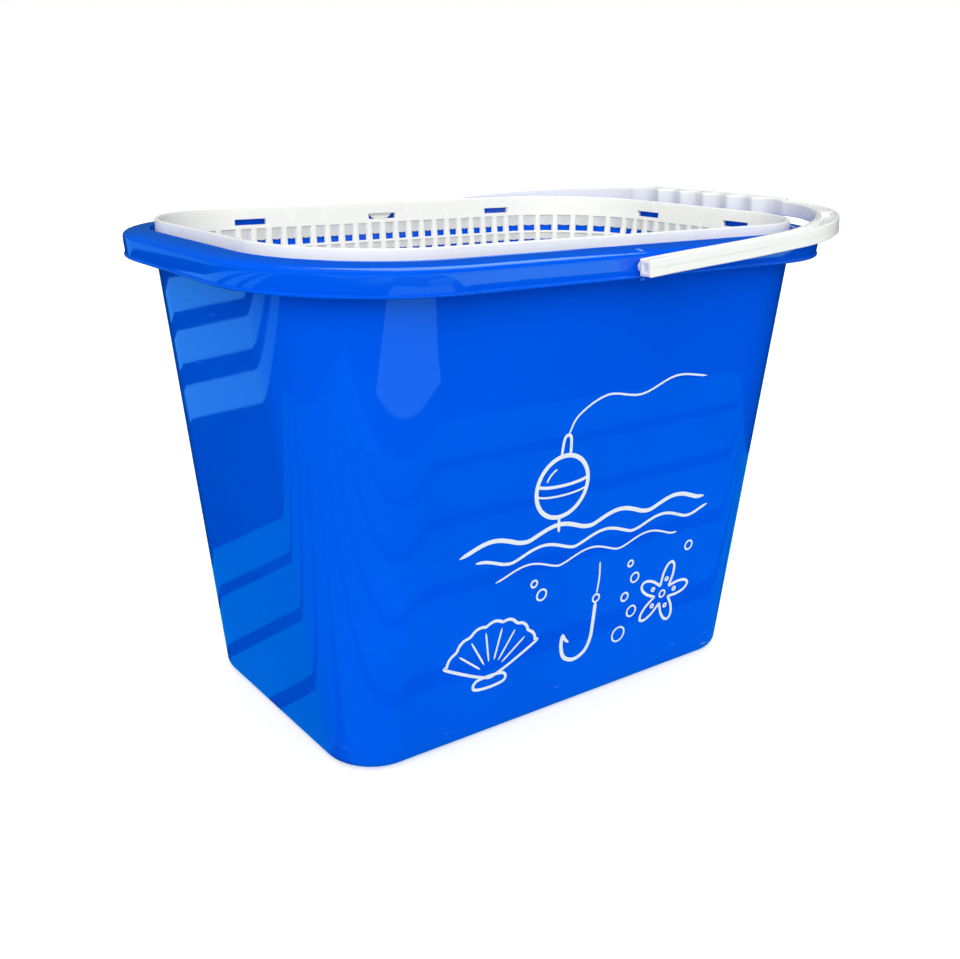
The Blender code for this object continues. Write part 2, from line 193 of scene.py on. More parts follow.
def grid_quads(rows: int, columns: int, closed: bool, first: int = 0) -> np.ndarray:
    """Corner numbers of the quads of a grid whose points are stored row by row.

    Args:
        rows: how many rows of points there are.
        columns: how many points a row has.
        closed: whether each row joins up with its own start.
        first: the number of the grid's first point.

    Returns:
        Corner numbers, M by 4.
    """
    across = np.arange(columns if closed else columns - 1)
    row, column = np.meshgrid(np.arange(rows - 1), across, indexing="ij")
    following = (column + 1) % columns
    corners = [row * columns + column, row * columns + following]
    corners += [(row + 1) * columns + following, (row + 1) * columns + column]
    return first + np.stack([corner.ravel() for corner in corners], axis=1)


def sweep_object(name: str, rings: np.ndarray, crease: float = CREASE) -> bpy.types.Object:
    """A closed body through rings of points, with a flat cap at each end.

    Args:
        name: the object's name.
        rings: stations by points by three.
        crease: edges sharper than this many degrees are shaded sharp.

    Returns:
        The new object.
    """
    count, around = rings.shape[:2]
    caps = [np.arange(around)[::-1], (count - 1) * around + np.arange(around)]
    return mesh_object(name, rings.reshape(-1, 3), grid_quads(count, around, True), caps, crease)


def turned_rings(
    sections: list[tuple[float, float]], axis_height: float, side: Side, around: int = 48
) -> np.ndarray:
    """A turned body about the bail's pivot axis: a circle of each radius at each spread.

    Args:
        sections: spread from the middle and radius, in metres.
        axis_height: the axis's height.
        side: the long side of the bucket that it is on.
        around: points on each circle.

    Returns:
        Stations by points by three.
    """
    spread, radius = np.array(sections).T[:, :, None]
    angle = np.linspace(0, 2 * math.pi, around, endpoint=False)[None, :]
    x = radius * np.cos(angle)
    z = axis_height + radius * np.sin(angle)
    return np.stack([x, np.broadcast_to(side.value * spread, x.shape), z], axis=-1)


def carve(
    target: bpy.types.Object, helpers: list[tuple[Work, bpy.types.Object]], crease: float = CREASE
) -> None:
    """Joins or cuts helper bodies with a body, keeps the result as its mesh and removes the helpers.

    Args:
        target: the body to change.
        helpers: each helper with what it does.
        crease: edges sharper than this many degrees are shaded sharp.
    """
    for work, helper in helpers:
        modifier = target.modifiers.new(helper.name, "BOOLEAN")
        modifier.operation = work.value
        modifier.solver = "EXACT"
        modifier.object = helper
    keep_modified(target, crease)
    for _, helper in helpers:
        bpy.data.objects.remove(helper, do_unlink=True)


def keep_modified(target: bpy.types.Object, crease: float = CREASE) -> None:
    """Replaces an object's mesh by what its modifiers make of it, and shades it smooth.

    Args:
        target: the object.
        crease: edges sharper than this many degrees are shaded sharp.
    """
    bpy.context.view_layer.update()
    graph = bpy.context.evaluated_depsgraph_get()
    mesh = bpy.data.meshes.new_from_object(target.evaluated_get(graph))
    target.modifiers.clear()
    target.data = mesh
    mesh.shade_smooth()
    mesh.set_sharp_from_angle(angle=math.radians(crease))


# Finishes


class Tree:
    """A material's node tree, with short calls for the nodes that the finishes need."""

    def __init__(self, name: str) -> None:
        """Starts a material with its shader and the piece's own coordinates.

        Args:
            name: the material's name.
        """
        self.material = bpy.data.materials.new(name)
        self.material.use_nodes = True
        self.nodes = self.material.node_tree.nodes
        self.links = self.material.node_tree.links
        self.shader = self.nodes["Principled BSDF"]
        self.coordinates = self.nodes.new("ShaderNodeTexCoord").outputs["Object"]

    def link(self, source: Socket, target: Socket) -> None:
        """Joins two sockets."""
        self.links.new(source, target)

    def stretched(self, scale: tuple[float, float, float]) -> Socket:
        """Object coordinates multiplied axis by axis.

        Args:
            scale: the factors along X, Y and Z.

        Returns:
            The new coordinates.
        """
        mapping = self.nodes.new("ShaderNodeMapping")
        mapping.inputs["Scale"].default_value = scale
        self.link(self.coordinates, mapping.inputs["Vector"])
        return mapping.outputs["Vector"]

    def noise(self, scale: float, detail: float = 2.0, vector: Socket | None = None) -> Socket:
        """Cloudy noise from 0 to 1.

        Args:
            scale: how many clouds there are to a metre.
            detail: how many finer layers it has.
            vector: coordinates, or the object's own if none are given.

        Returns:
            The noise's value.
        """
        node = self.nodes.new("ShaderNodeTexNoise")
        node.inputs["Scale"].default_value = scale
        node.inputs["Detail"].default_value = detail
        self.link(vector or self.coordinates, node.inputs["Vector"])
        return node.outputs["Fac"]

    def ramp(self, value: Socket, low: float, high: float, to_low: float, to_high: float) -> Socket:
        """Maps a range of a value smoothly onto another, and holds it beyond both ends.

        Args:
            value: the value.
            low: where its range starts.
            high: where its range ends.
            to_low: what the start becomes.
            to_high: what the end becomes.

        Returns:
            The mapped value.
        """
        node = self.nodes.new("ShaderNodeMapRange")
        node.interpolation_type = "SMOOTHSTEP"
        for key, number in (("From Min", low), ("From Max", high), ("To Min", to_low), ("To Max", to_high)):
            node.inputs[key].default_value = number
        self.link(value, node.inputs["Value"])
        return node.outputs["Result"]

    def combine(self, operation: str, a: Socket, b: Socket | float = 0.0) -> Socket:
        """Works a Math node on two values.

        Args:
            operation: the node's operation.
            a: the first value.
            b: the second value, which an operation on one value leaves unused.

        Returns:
            The result.
        """
        node = self.nodes.new("ShaderNodeMath")
        node.operation = operation
        self.link(a, node.inputs[0])
        if isinstance(b, (int, float)):
            node.inputs[1].default_value = b
        else:
            self.link(b, node.inputs[1])
        return node.outputs["Value"]

    def within(self, value: Socket, low: float, high: float, blur: float) -> Socket:
        """One where a value lies from low to high, and nothing outside, with edges as wide as the blur."""
        rise = self.ramp(value, low, low + blur, 0.0, 1.0)
        return self.combine("MULTIPLY", rise, self.ramp(value, high, high + blur, 1.0, 0.0))

    def blend(self, share: Socket, low: Colour | Socket, high: Colour) -> Socket:
        """Mixes two colours by a share.

        Args:
            share: how much of the second colour there is, from 0 to 1.
            low: the first colour.
            high: the second colour.

        Returns:
            The mixed colour.
        """
        node = self.nodes.new("ShaderNodeMix")
        node.data_type = "RGBA"
        self.link(share, node.inputs["Factor"])
        if isinstance(low, tuple):
            node.inputs["A"].default_value = (*low, 1.0)
        else:
            self.link(low, node.inputs["A"])
        node.inputs["B"].default_value = (*high, 1.0)
        return node.outputs["Result"]

    def bump(self, layers: list[tuple[Socket, float]]) -> None:
        """Stacks bump layers on the shader.

        Args:
            layers: each layer's height from 0 to 1, with its real depth in metres.
        """
        normal = None
        for height, depth in layers:
            node = self.nodes.new("ShaderNodeBump")
            node.inputs["Strength"].default_value = 1.0
            node.inputs["Distance"].default_value = depth
            self.link(height, node.inputs["Height"])
            if normal:
                self.link(normal, node.inputs["Normal"])
            normal = node.outputs["Normal"]
        self.link(normal, self.shader.inputs["Normal"])

    def axes(self) -> bpy.types.NodeOutputs:
        """The point's own place, as the outputs X, Y and Z in metres.

        Returns:
            The outputs by name.
        """
        node = self.nodes.new("ShaderNodeSeparateXYZ")
        self.link(self.coordinates, node.inputs["Vector"])
        return node.outputs


@dataclass(frozen=True)
class MouldedPlastic:
    """Injection-moulded plastic: an even colour with faint flow clouds, sink waves and scuffs.

    wave_depth is how far the wall wanders from true, grain_depth the tooth of its skin, and
    scuff_height the height below which it is scuffed by standing on the ground. A scale is a number
    of clouds to a metre, and a range is the part of a noise in which its effect comes up.
    """

    name: str
    colour: Colour
    cloud: Colour
    roughness: float
    gloss: float
    wave_depth: float
    wave_scale: float
    grain_depth: float
    subsurface: float = 0.0
    scuff_height: float = 0.0
    scuff_colour: Colour = (0.42, 0.52, 0.82)
    scuff_share: float = 0.35
    scuff_roughness: float = 0.06
    scatter_depth: float = 0.0015
    cloud_scale: float = 9.0
    cloud_range: tuple[float, float] = (0.3, 0.7)
    smear_scale: float = 30.0
    smear_stretch: tuple[float, float, float] = (1.0, 1.0, 0.35)
    smear_range: tuple[float, float] = (0.35, 0.75)
    smear_shares: tuple[float, float] = (0.8, 1.5)
    scratch_scale: float = 420.0
    scratch_stretch: tuple[float, float, float] = (0.16, 0.16, 1.6)
    scratch_range: tuple[float, float] = (0.70, 0.78)
    scratch_depth: float = 0.00001
    grain_scale: float = 2600.0

    def material(self) -> bpy.types.Material:
        """Builds the material: clouds tint it, smears vary its gloss, and waves and scratches bump it.

        Returns:
            The material.
        """
        tree = Tree(self.name)
        clouds = tree.ramp(tree.noise(self.cloud_scale, 3.0), *self.cloud_range, 0.0, 1.0)
        colour = tree.blend(clouds, self.colour, self.cloud)
        smear = tree.noise(self.smear_scale, 4.0, tree.stretched(self.smear_stretch))
        glossy, dull = (self.roughness * share for share in self.smear_shares)
        roughness = tree.ramp(smear, *self.smear_range, glossy, dull)
        scratch_field = tree.noise(self.scratch_scale, 2.0, tree.stretched(self.scratch_stretch))
        scratches = tree.ramp(scratch_field, *self.scratch_range, 0.0, 1.0)
        if self.scuff_height > 0:
            low = tree.ramp(tree.axes()["Z"], 0.0, self.scuff_height, 1.0, 0.0)
            scuffs = tree.combine("MULTIPLY", scratches, low)
            colour = tree.blend(tree.combine("MULTIPLY", scuffs, self.scuff_share), colour, self.scuff_colour)
            roughness = tree.combine("ADD", roughness, tree.combine("MULTIPLY", low, self.scuff_roughness))
        tree.link(colour, tree.shader.inputs["Base Color"])
        tree.link(roughness, tree.shader.inputs["Roughness"])
        tree.shader.inputs["Specular IOR Level"].default_value = self.gloss
        tree.shader.inputs["Subsurface Weight"].default_value = self.subsurface
        tree.shader.inputs["Subsurface Radius"].default_value = (1.0, 1.0, 1.0)
        tree.shader.inputs["Subsurface Scale"].default_value = self.scatter_depth
        layers = [(tree.noise(self.wave_scale, 1.0), self.wave_depth), (scratches, self.scratch_depth)]
        if self.grain_depth > 0:
            layers.append((tree.noise(self.grain_scale, 1.0), self.grain_depth))
        tree.bump(layers)
        return tree.material


@dataclass(frozen=True)
class PrintInk:
    """Opaque screen-printing ink, a little thin and broken where it has been rubbed."""

    name: str = "white_print_ink"
    colour: Colour = (0.80, 0.86, 0.88)
    thin: Colour = (0.45, 0.62, 0.85)
    gloss: float = 0.4
    rub_scale: float = 700.0
    rub_range: tuple[float, float] = (0.62, 0.74)
    sheen_scale: float = 240.0
    sheen_range: tuple[float, float] = (0.3, 0.7)
    roughness: tuple[float, float] = (0.32, 0.48)
    skin_scale: float = 1500.0
    skin_depth: float = 0.00002

    def material(self) -> bpy.types.Material:
        """Builds the material: rubbed places thin its colour, and a fine skin bumps it.

        Returns:
            The material.
        """
        tree = Tree(self.name)
        rubbed = tree.ramp(tree.noise(self.rub_scale, 3.0), *self.rub_range, 0.0, 1.0)
        tree.link(tree.blend(rubbed, self.colour, self.thin), tree.shader.inputs["Base Color"])
        sheen = tree.ramp(tree.noise(self.sheen_scale), *self.sheen_range, *self.roughness)
        tree.link(sheen, tree.shader.inputs["Roughness"])
        tree.shader.inputs["Specular IOR Level"].default_value = self.gloss
        tree.bump([(tree.noise(self.skin_scale, 2.0), self.skin_depth)])
        return tree.material


BLUE_PLASTIC = MouldedPlastic(
    name="glossy_blue_plastic",
    colour=(0.0, 0.091, 0.765),
    cloud=(0.0, 0.100, 0.82),
    roughness=0.035,
    gloss=0.5,
    wave_depth=0.00012,
    wave_scale=14.0,
    grain_depth=0.0,
    scuff_height=0.05,
)
WHITE_PLASTIC = MouldedPlastic(
    name="white_plastic",
    colour=(0.845, 0.85, 0.825),
    cloud=(0.87, 0.875, 0.85),
    roughness=0.30,
    gloss=0.45,
    wave_depth=0.00012,
    wave_scale=30.0,
    grain_depth=0.000003,
    subsurface=0.12,
)
# A darker copy of the white plastic: painted shade on the recessed floors of the strainer's pockets.
POCKET_SHADE_WHITE = MouldedPlastic(
    name="pocket_shade_white_plastic",
    colour=(0.70, 0.71, 0.72),
    cloud=(0.76, 0.77, 0.78),
    roughness=0.34,
    gloss=0.4,
    wave_depth=0.00012,
    wave_scale=30.0,
    grain_depth=0.000003,
    subsurface=0.10,
)


# The tub


class Profile:
    """A wall's section, row by row: an outline at each height."""

    def __init__(self) -> None:
        """Starts with no rows."""
        self.rows: list[np.ndarray] = []
        self.heights: list[np.ndarray] = []

    def add(self, outlines: np.ndarray, z: np.ndarray | float) -> None:
        """Adds rows, each at its own height or all at one."""
        self.rows.append(outlines)
        self.heights.append(np.broadcast_to(z, len(outlines)))


@dataclass
class Tub:
    """The blue tub: tapered walls, a ledge in the mouth, and a rim with a turned-down skirt.

    roll is how far the rolled top reaches inwards and how far it falls, and bead the crest's radius
    and rise, with bead_room of those radii between the roll's last row and the mouth. tuck is how
    far the skirt comes in above its lip. The body meets the rim's underside under_rim rim walls below
    the top, where the underside's arc has turned by under_turn radians. fan is the shares at which
    rows cross the flat base, and rib_faces pairs a share of the rib's thickness with a share of its
    edge's softening.
    """

    height: float = 0.260
    base_half: tuple[float, float, float] = (0.1384, 0.0852, 0.028)
    mouth_half: tuple[float, float, float] = (0.1686, 0.1127, 0.068)
    wall: float = 0.0022
    floor: float = 0.0026
    base_edge: float = 0.006
    fan: tuple[float, ...] = (0.1, 0.5, 0.9, 0.985)
    ledge_depth: float = 0.0079
    ledge_width: float = 0.0026
    ledge_edge: float = 0.0004
    ledge_corner: float = 0.0005
    flange: float = 0.0140
    skirt: float = 0.0137
    rim_wall: float = 0.0020
    under_rim: float = 1.35
    under_turn: float = 1.108
    roll: tuple[float, float] = (0.0150, 0.0039)
    roll_power: float = 2.7
    bead: tuple[float, float] = (0.0010, 0.0003)
    bead_room: float = 2.2
    mouth_start: float = 0.0020
    lip_edge: float = 0.0009
    tuck: float = 0.0007
    tuck_power: float = 1.5
    rib_thickness: float = 0.0030
    rib_faces: tuple[tuple[float, float], ...] = ((-0.5, 1.0), (-0.42, 0.0), (0.42, 0.0), (0.5, 1.0))
    rib_edge: float = 0.00025
    rib_reach: float = 0.0082
    rib_insets: tuple[float, ...] = (1.0, 0.93, 0.75, 0.5, 0.3, 0.15, 0.05)
    rib_lifts: tuple[float, ...] = (0.4, 1.0, 0.8, 0.3, 0.1, 0.0, 0.0)
    rib_rise: float = 0.0004
    rib_shoulder: float = 0.001
    rib_drop: float = 0.0012
    rib_sunk: float = 0.0009
    pivot_depth: float = 0.0073
    peg_bore: float = 0.0033
    peg_room: float = 0.0048
    arc_steps: int = 30
    wall_rows: int = 26
    finish: MouldedPlastic = BLUE_PLASTIC

    @property
    def ledge_height(self) -> float:
        """Height of the ledge that carries the strainer."""
        return self.height - self.ledge_depth

    @property
    def skirt_bottom(self) -> float:
        """Height of the skirt's lower edge."""
        return self.height - self.skirt

    @property
    def pivot_height(self) -> float:
        """Height of the axis on which the bail swings."""
        return self.height - self.pivot_depth

    @property
    def rim_half(self) -> np.ndarray:
        """The rim's outline as one row."""
        return grown(self.outer_wall(np.array([self.height])), self.ledge_width - self.wall + self.flange)

    @property
    def rim_spread(self) -> float:
        """The skirt's distance from the plane through the length of the bucket."""
        return float(self.rim_half[0, 1])

    def outer_wall(self, heights: np.ndarray) -> np.ndarray:
        """Outlines of the outer wall, which tapers evenly from the mouth to the base."""
        share = np.reshape(heights, (-1, 1)) / self.height
        return np.array(self.base_half) * (1 - share) + np.array(self.mouth_half) * share

    def loop(self) -> Loop:
        """Stations with a close pair at each end of every round corner, so that the flats stay flat.

        Returns:
            The stations.
        """
        end = [0.02, 0.3, 0.6, 0.85, 0.97]
        arc = np.linspace(0, 1, self.arc_steps + 1)
        long = [0.99, 0.9, 0.7, 0.45, 0.2, 0.09, 0.045, 0.016]
        stretch = [Stretch.END.value] * len(end) + [Stretch.ARC.value] * len(arc)
        stretch += [Stretch.LONG.value] * len(long)
        return Loop.mirrored(np.array(stretch), np.concatenate([end, arc, long]))

    def section(self) -> tuple[np.ndarray, np.ndarray]:
        """The wall's section from the middle of the base, up outside, over the rim and down inside.

        Returns:
            Outlines, rows by three, and heights.
        """
        profile = Profile()
        self.add_outside(profile)
        self.add_skirt(profile)
        self.add_top(profile)
        self.add_inside(profile)
        return np.concatenate(profile.rows), np.concatenate(profile.heights)

    def add_outside(self, profile: Profile) -> None:
        """Adds the base, its rounded edge, the outer wall and the step below the rim.

        The rounded edge of radius r has its points at an inset of r - r sin a and a rise of
        r - r cos a, for a from 0 to a right angle.

        Args:
            profile: the section so far.
        """
        turn = np.linspace(0, math.pi / 2, 9)
        inset, rise = self.base_edge * (1 - np.sin(turn)), self.base_edge * (1 - np.cos(turn))
        foot = grown(self.outer_wall(np.zeros(1)), -self.base_edge)
        profile.add(foot * np.reshape(self.fan, (-1, 1)), 0.0)
        profile.add(grown(self.outer_wall(rise), -inset), rise)
        step_low = self.ledge_height - self.wall
        z = np.linspace(self.base_edge, step_low, self.wall_rows)[1:]
        profile.add(self.outer_wall(z), z)
        above = np.array([step_low, self.height - self.under_rim * self.rim_wall])
        profile.add(grown(self.outer_wall(above), self.ledge_width), above)

    def add_skirt(self, profile: Profile) -> None:
        """Adds the rim's underside and the skirt, up to where its outer face meets the rolled top.

        The underside is an arc of an ellipse, and the lip a half ellipse as wide as the wall. Above
        the lip the outer face first comes in by the tuck along a quarter turn, and goes out again by
        the power of (1 - t), for t from 0 at the lip to 1 at the roll.

        Args:
            profile: the section so far.
        """
        rim, (across, fall) = self.rim_half, self.roll
        turn = np.linspace(self.under_turn, 0, 7)
        inset = self.rim_wall + (across - self.rim_wall) * (1 - np.cos(turn))
        profile.add(grown(rim, -inset), self.height - fall + (fall - self.rim_wall) * np.sin(turn))
        profile.add(grown(rim, -self.rim_wall), self.skirt_bottom + self.lip_edge)
        turn = np.linspace(0, math.pi, 9)
        half_wall = self.rim_wall / 2
        z = self.skirt_bottom + self.lip_edge * (1 - np.sin(turn))
        profile.add(grown(rim, -half_wall * (1 + np.cos(turn))), z)
        turn = np.linspace(0, math.pi / 2, 5)[1:]
        z = self.skirt_bottom + self.lip_edge * (1 + np.sin(turn))
        profile.add(grown(rim, -self.tuck * (1 - np.cos(turn))), z)
        share = np.linspace(0, 1, 9)[1:-1]
        low = self.skirt_bottom + 2 * self.lip_edge
        z = low + share * (self.height - fall - low)
        profile.add(grown(rim, -self.tuck * (1 - share) ** self.tuck_power), z)

    def add_top(self, profile: Profile) -> None:
        """Adds the rolled top and the bead round the mouth.

        The rows of the roll lie at insets of its length times 1 - cos a, so that they are closest
        where it falls fastest. The bead comes up as a raised cosine, (1 + cos a) / 2 of its rise, and
        goes down into the mouth as a quarter circle.

        Args:
            profile: the section so far.
        """
        across = self.roll[0]
        crest, rise = self.bead
        last = math.acos(1 - (self.flange - self.bead_room * crest) / across)
        inset = across * (1 - np.cos(np.linspace(0, last, 23)))
        profile.add(grown(self.rim_half, -inset), self.height - self.sunk(inset))
        mouth = grown(self.outer_wall(np.array([self.height])), self.ledge_width - self.wall)
        turn = np.linspace(math.pi, 0, 9)
        dip = self.sunk(np.array([self.flange - 2 * crest])) * turn / math.pi
        z = self.height + rise * (1 + np.cos(turn)) / 2 - dip
        profile.add(grown(mouth, crest * (1 + turn / math.pi)), z)
        turn = np.linspace(0, math.pi / 2, 6)[1:]
        z = self.height + rise - crest * (1 - np.cos(turn))
        profile.add(grown(mouth, crest * (1 - np.sin(turn))), z)

    def add_inside(self, profile: Profile) -> None:
        """Adds the mouth, the ledge, the inner wall and the floor with its rounded edge.

        Args:
            profile: the section so far.
        """
        ledge = self.ledge_height
        above = (self.height - self.mouth_start, ledge + 2 * self.ledge_edge, ledge + self.ledge_edge / 2)
        z = np.array(above)
        profile.add(grown(self.outer_wall(z), self.ledge_width - self.wall), z)
        inner = grown(self.outer_wall(np.array([ledge])), -self.wall)
        profile.add(grown(inner, self.ledge_width - self.ledge_corner), ledge)
        profile.add(grown(inner, self.ledge_edge), ledge)
        z = np.linspace(ledge - self.ledge_edge, self.base_edge, self.wall_rows)
        profile.add(grown(self.outer_wall(z), -self.wall), z)
        turn = np.linspace(math.pi / 2, 0, 7)[1:]
        radius = self.base_edge - self.wall
        inset, rise = radius * (1 - np.sin(turn)), radius * (1 - np.cos(turn))
        profile.add(grown(self.outer_wall(self.floor + rise), -self.wall - inset), self.floor + rise)
        last = grown(self.outer_wall(np.array([self.floor])), -self.wall - radius)
        profile.add(last * np.reshape(self.fan[::-1], (-1, 1)), self.floor)

    def sunk(self, inset: np.ndarray) -> np.ndarray:
        """How far the rolled rim lies below its own height.

        The roll is part of a superellipse. With w = 1 - inset / its length and p its power, the
        surface has fallen by its height times 1 - (1 - w^p)^(1/p).

        Args:
            inset: distances inwards from the skirt's face.

        Returns:
            The falls.
        """
        across, fall = self.roll
        share = 1 - np.minimum(inset / across, 1)
        return fall * (1 - (1 - share**self.roll_power) ** (1 / self.roll_power))

    def rib(self, side: Side) -> bpy.types.Object:
        """The thin web across the rim through which the peg goes: a flat outline with soft edges.

        Its top follows the rolled rim a little above it, and its foot shows below the skirt.

        Args:
            side: the long side it is on.

        Returns:
            The rib, which is to be joined on.
        """
        face = side.value * self.rim_spread
        inset = np.array(self.rib_insets) * self.rib_reach
        lift = self.rib_rise * np.array(self.rib_lifts)
        spread = np.concatenate([inset, [self.rib_sunk, self.rib_sunk, self.rib_reach]])
        shoulder = self.height - self.roll[1] - self.rib_shoulder
        low = self.skirt_bottom - self.rib_drop
        z = np.concatenate([self.height - self.sunk(inset) + lift, [shoulder, low, low]])
        outline = np.column_stack([face - side.value * spread, z])
        middle = outline.mean(axis=0)
        rings = []
        for place, softening in self.rib_faces:
            shrunk = outline + softening * self.rib_edge * np.sign(middle - outline)
            rings.append(np.column_stack([np.full(len(outline), place * self.rib_thickness), shrunk]))
        return sweep_object(side.piece("rib"), np.stack(rings))

    def build(self) -> list[bpy.types.Object]:
        """Builds the tub as one moulding, with the rim's ribs joined on and the peg holes cut.

        Returns:
            The tub.
        """
        outlines, heights = self.section()
        tub = sweep_object("tub_moulding", self.loop().place(outlines, heights))
        face = self.rim_spread
        behind = face - self.rim_wall
        sections = [(face - self.rib_reach - self.rim_wall, self.peg_room), (behind, self.peg_room)]
        sections += [(behind, self.peg_bore), (face + self.rim_wall, self.peg_bore)]
        helpers: list[tuple[Work, bpy.types.Object]] = []
        for side in Side:
            helpers.append((Work.JOIN, self.rib(side)))
            rings = turned_rings(sections, self.pivot_height, side)
            helpers.append((Work.CUT, sweep_object(side.piece("bore"), rings)))
        carve(tub, helpers)
        tub.data.materials.append(self.finish.material())
        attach(tub, "tub")
        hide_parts("bucket_tub")
        return [tub]


TUB = Tub()


# The strainer


class Gap(Enum):
    """What the strainer's wall is between one level and the next."""

    SOLID = 0
    SLOT = 1
    POCKET = 2
    HOLE = 3


@dataclass
class Level:
    """A level of the strainer's wall: its two outlines and their heights, and what lies below it."""

    gap: Gap
    inner: np.ndarray
    inner_z: float
    outer: np.ndarray
    outer_z: float


@dataclass
class Strainer:
    """The white strainer: a slotted band, and a wall of pockets, each with a hole at its foot.

    The pockets are sunk into the wall's inner face. margin is how much narrower a hole is than its
    pocket on each side, and lip_drop how far a hole's edges sag in their middle. A station nearer to
    the one before it than closest is left out. tongue_top is the heights of a tongue's two upper rows
    of points, tongue_tip how far its last row stays above its circle's lowest point, and tongue_faces
    how far its two faces stand outside the band.
    """

    rise: float = 0.0050
    play: float = 0.0016
    band_wall: float = 0.0024
    top_edge: float = 0.0008
    band_line: float = 0.2612
    seat_gap: float = 0.0003
    seat_rise: float = 0.0006
    wall: float = 0.0022
    pocket_depth: float = 0.0011
    depth: float = 0.092
    floor: float = 0.0022
    foot: float = 0.0050
    floor_shares: tuple[float, ...] = (0.985, 0.9, 0.6, 0.3, 0.03)
    bar_pitch: float = 0.0098
    bar: float = 0.0034
    margin: float = 0.0005
    closest: float = 0.00012
    end_windows: int = 6
    long_windows: int = 10
    corner_windows: int = 7
    hole_rows: int = 7
    row_pitch: float = 0.0094
    first_hole: float = 0.2460
    hole: float = 0.0039
    ring: float = 0.0014
    lip_drop: float = 0.0005
    slot_top: float = 0.2580
    slot_bottom: float = 0.2546
    slot_half: float = 0.0100
    slot_edge: float = 0.0004
    slots_long: tuple[float, ...] = (0.0, 0.090)
    slot_end: float = 0.038
    floor_slot: tuple[float, float] = (0.085, 0.0050)
    floor_pitch: float = 0.0105
    floor_gap: float = 0.012
    floor_count: int = 11
    tongue_radius: float = 0.0105
    tongue_centre: float = 0.2640
    tongue_top: tuple[float, float] = (0.2592, 0.2585)
    tongue_tip: float = 0.0002
    tongue_faces: tuple[float, float] = (-0.0003, 0.0007)
    edge: float = 0.00018
    edge_angle: float = 42.0
    wall_crease: float = 28.0
    kept_crease: float = 50.0
    finish: MouldedPlastic = WHITE_PLASTIC
    pocket_shade_finish: MouldedPlastic = POCKET_SHADE_WHITE

    @property
    def top(self) -> float:
        """Height of the band's upper edge."""
        return TUB.height + self.rise

    @property
    def bottom(self) -> float:
        """Height of the strainer's underside."""
        return self.top - self.depth

    def band(self) -> np.ndarray:
        """The band's outer outline, which fits the mouth above the ledge, as one row."""
        mouth = grown(TUB.outer_wall(np.array([TUB.ledge_height])), TUB.ledge_width - TUB.wall)
        return grown(mouth, -self.play)

    def inside(self, heights: np.ndarray) -> np.ndarray:
        """Outlines of the inner face, which keeps the tub's taper all the way down."""
        upper = TUB.outer_wall(np.array([self.top]))
        return grown(self.band(), -self.band_wall) - upper + TUB.outer_wall(heights)

    def windows(self, outline: np.ndarray) -> tuple[np.ndarray, np.ndarray, float]:
        """Where the windows of the first quarter stand along an outline.

        Args:
            outline: half length, half width and corner radius.

        Returns:
            The windows' middles, their pitches, and the quarter's length.
        """
        half_x, half_y, corner = outline
        total = (half_y - corner) + corner * math.pi / 2 + (half_x - corner)
        end = (np.arange(self.end_windows) + 0.5) * self.bar_pitch
        start = self.end_windows * self.bar_pitch
        pitch = (total - self.long_windows * self.bar_pitch - start) / self.corner_windows
        corners = start + (np.arange(self.corner_windows) + 0.5) * pitch
        long = total - (np.arange(self.long_windows)[::-1] + 0.5) * self.bar_pitch
        middles = np.concatenate([end, corners, long])
        pitches = np.full(len(middles), self.bar_pitch)
        pitches[len(end) : len(end) + len(corners)] = pitch
        return middles, pitches, total

    def band_levels(self) -> list[Level]:
        """The band, whose top edge is rounded and whose slots have a level close to each edge.

        The rounded edge of radius r has its points at an inset of r - r cos a and a fall of
        r - r sin a, for a from a right angle to 0.

        Returns:
            Its levels, from the top down.
        """
        band, radius = self.band(), self.top_edge
        levels = []
        for turn in np.linspace(math.pi / 2, 0, 4):
            z, inset = self.top - radius * (1 - math.sin(turn)), radius * (1 - math.cos(turn))
            face = self.inside(np.array([z]))
            levels.append(Level(Gap.SOLID, grown(face, inset), z, grown(band, -inset), z))
        rows = [(self.band_line, Gap.SOLID), (self.slot_top + self.slot_edge, Gap.SOLID)]
        rows += [(self.slot_top, Gap.SLOT), (self.slot_bottom, Gap.SOLID)]
        rows += [(self.slot_bottom - self.slot_edge, Gap.SOLID)]
        rows += [(TUB.ledge_height + self.seat_gap + self.seat_rise, Gap.SOLID)]
        return levels + [Level(gap, self.inside(np.array([z])), z, band, z) for z, gap in rows]

    def lattice_levels(self) -> list[Level]:
        """The rows of pockets, each with its hole at the foot and a flush ring below it.

        Returns:
            Their levels, from the top down.
        """
        rows = [(TUB.ledge_height + self.seat_gap, Gap.POCKET)]
        for row in range(self.hole_rows):
            hole_top = self.first_hole - row * self.row_pitch
            rows += [(hole_top, Gap.HOLE), (hole_top - self.hole, Gap.SOLID)]
            rows += [(hole_top - self.hole - self.ring, Gap.POCKET)]
        rows[-1] = (rows[-1][0], Gap.SOLID)
        rows += [(self.bottom + self.foot, Gap.SOLID)]
        faces = [self.inside(np.array([z])) for z, _ in rows]
        return [Level(gap, face, z, grown(face, self.wall), z) for (z, gap), face in zip(rows, faces)]

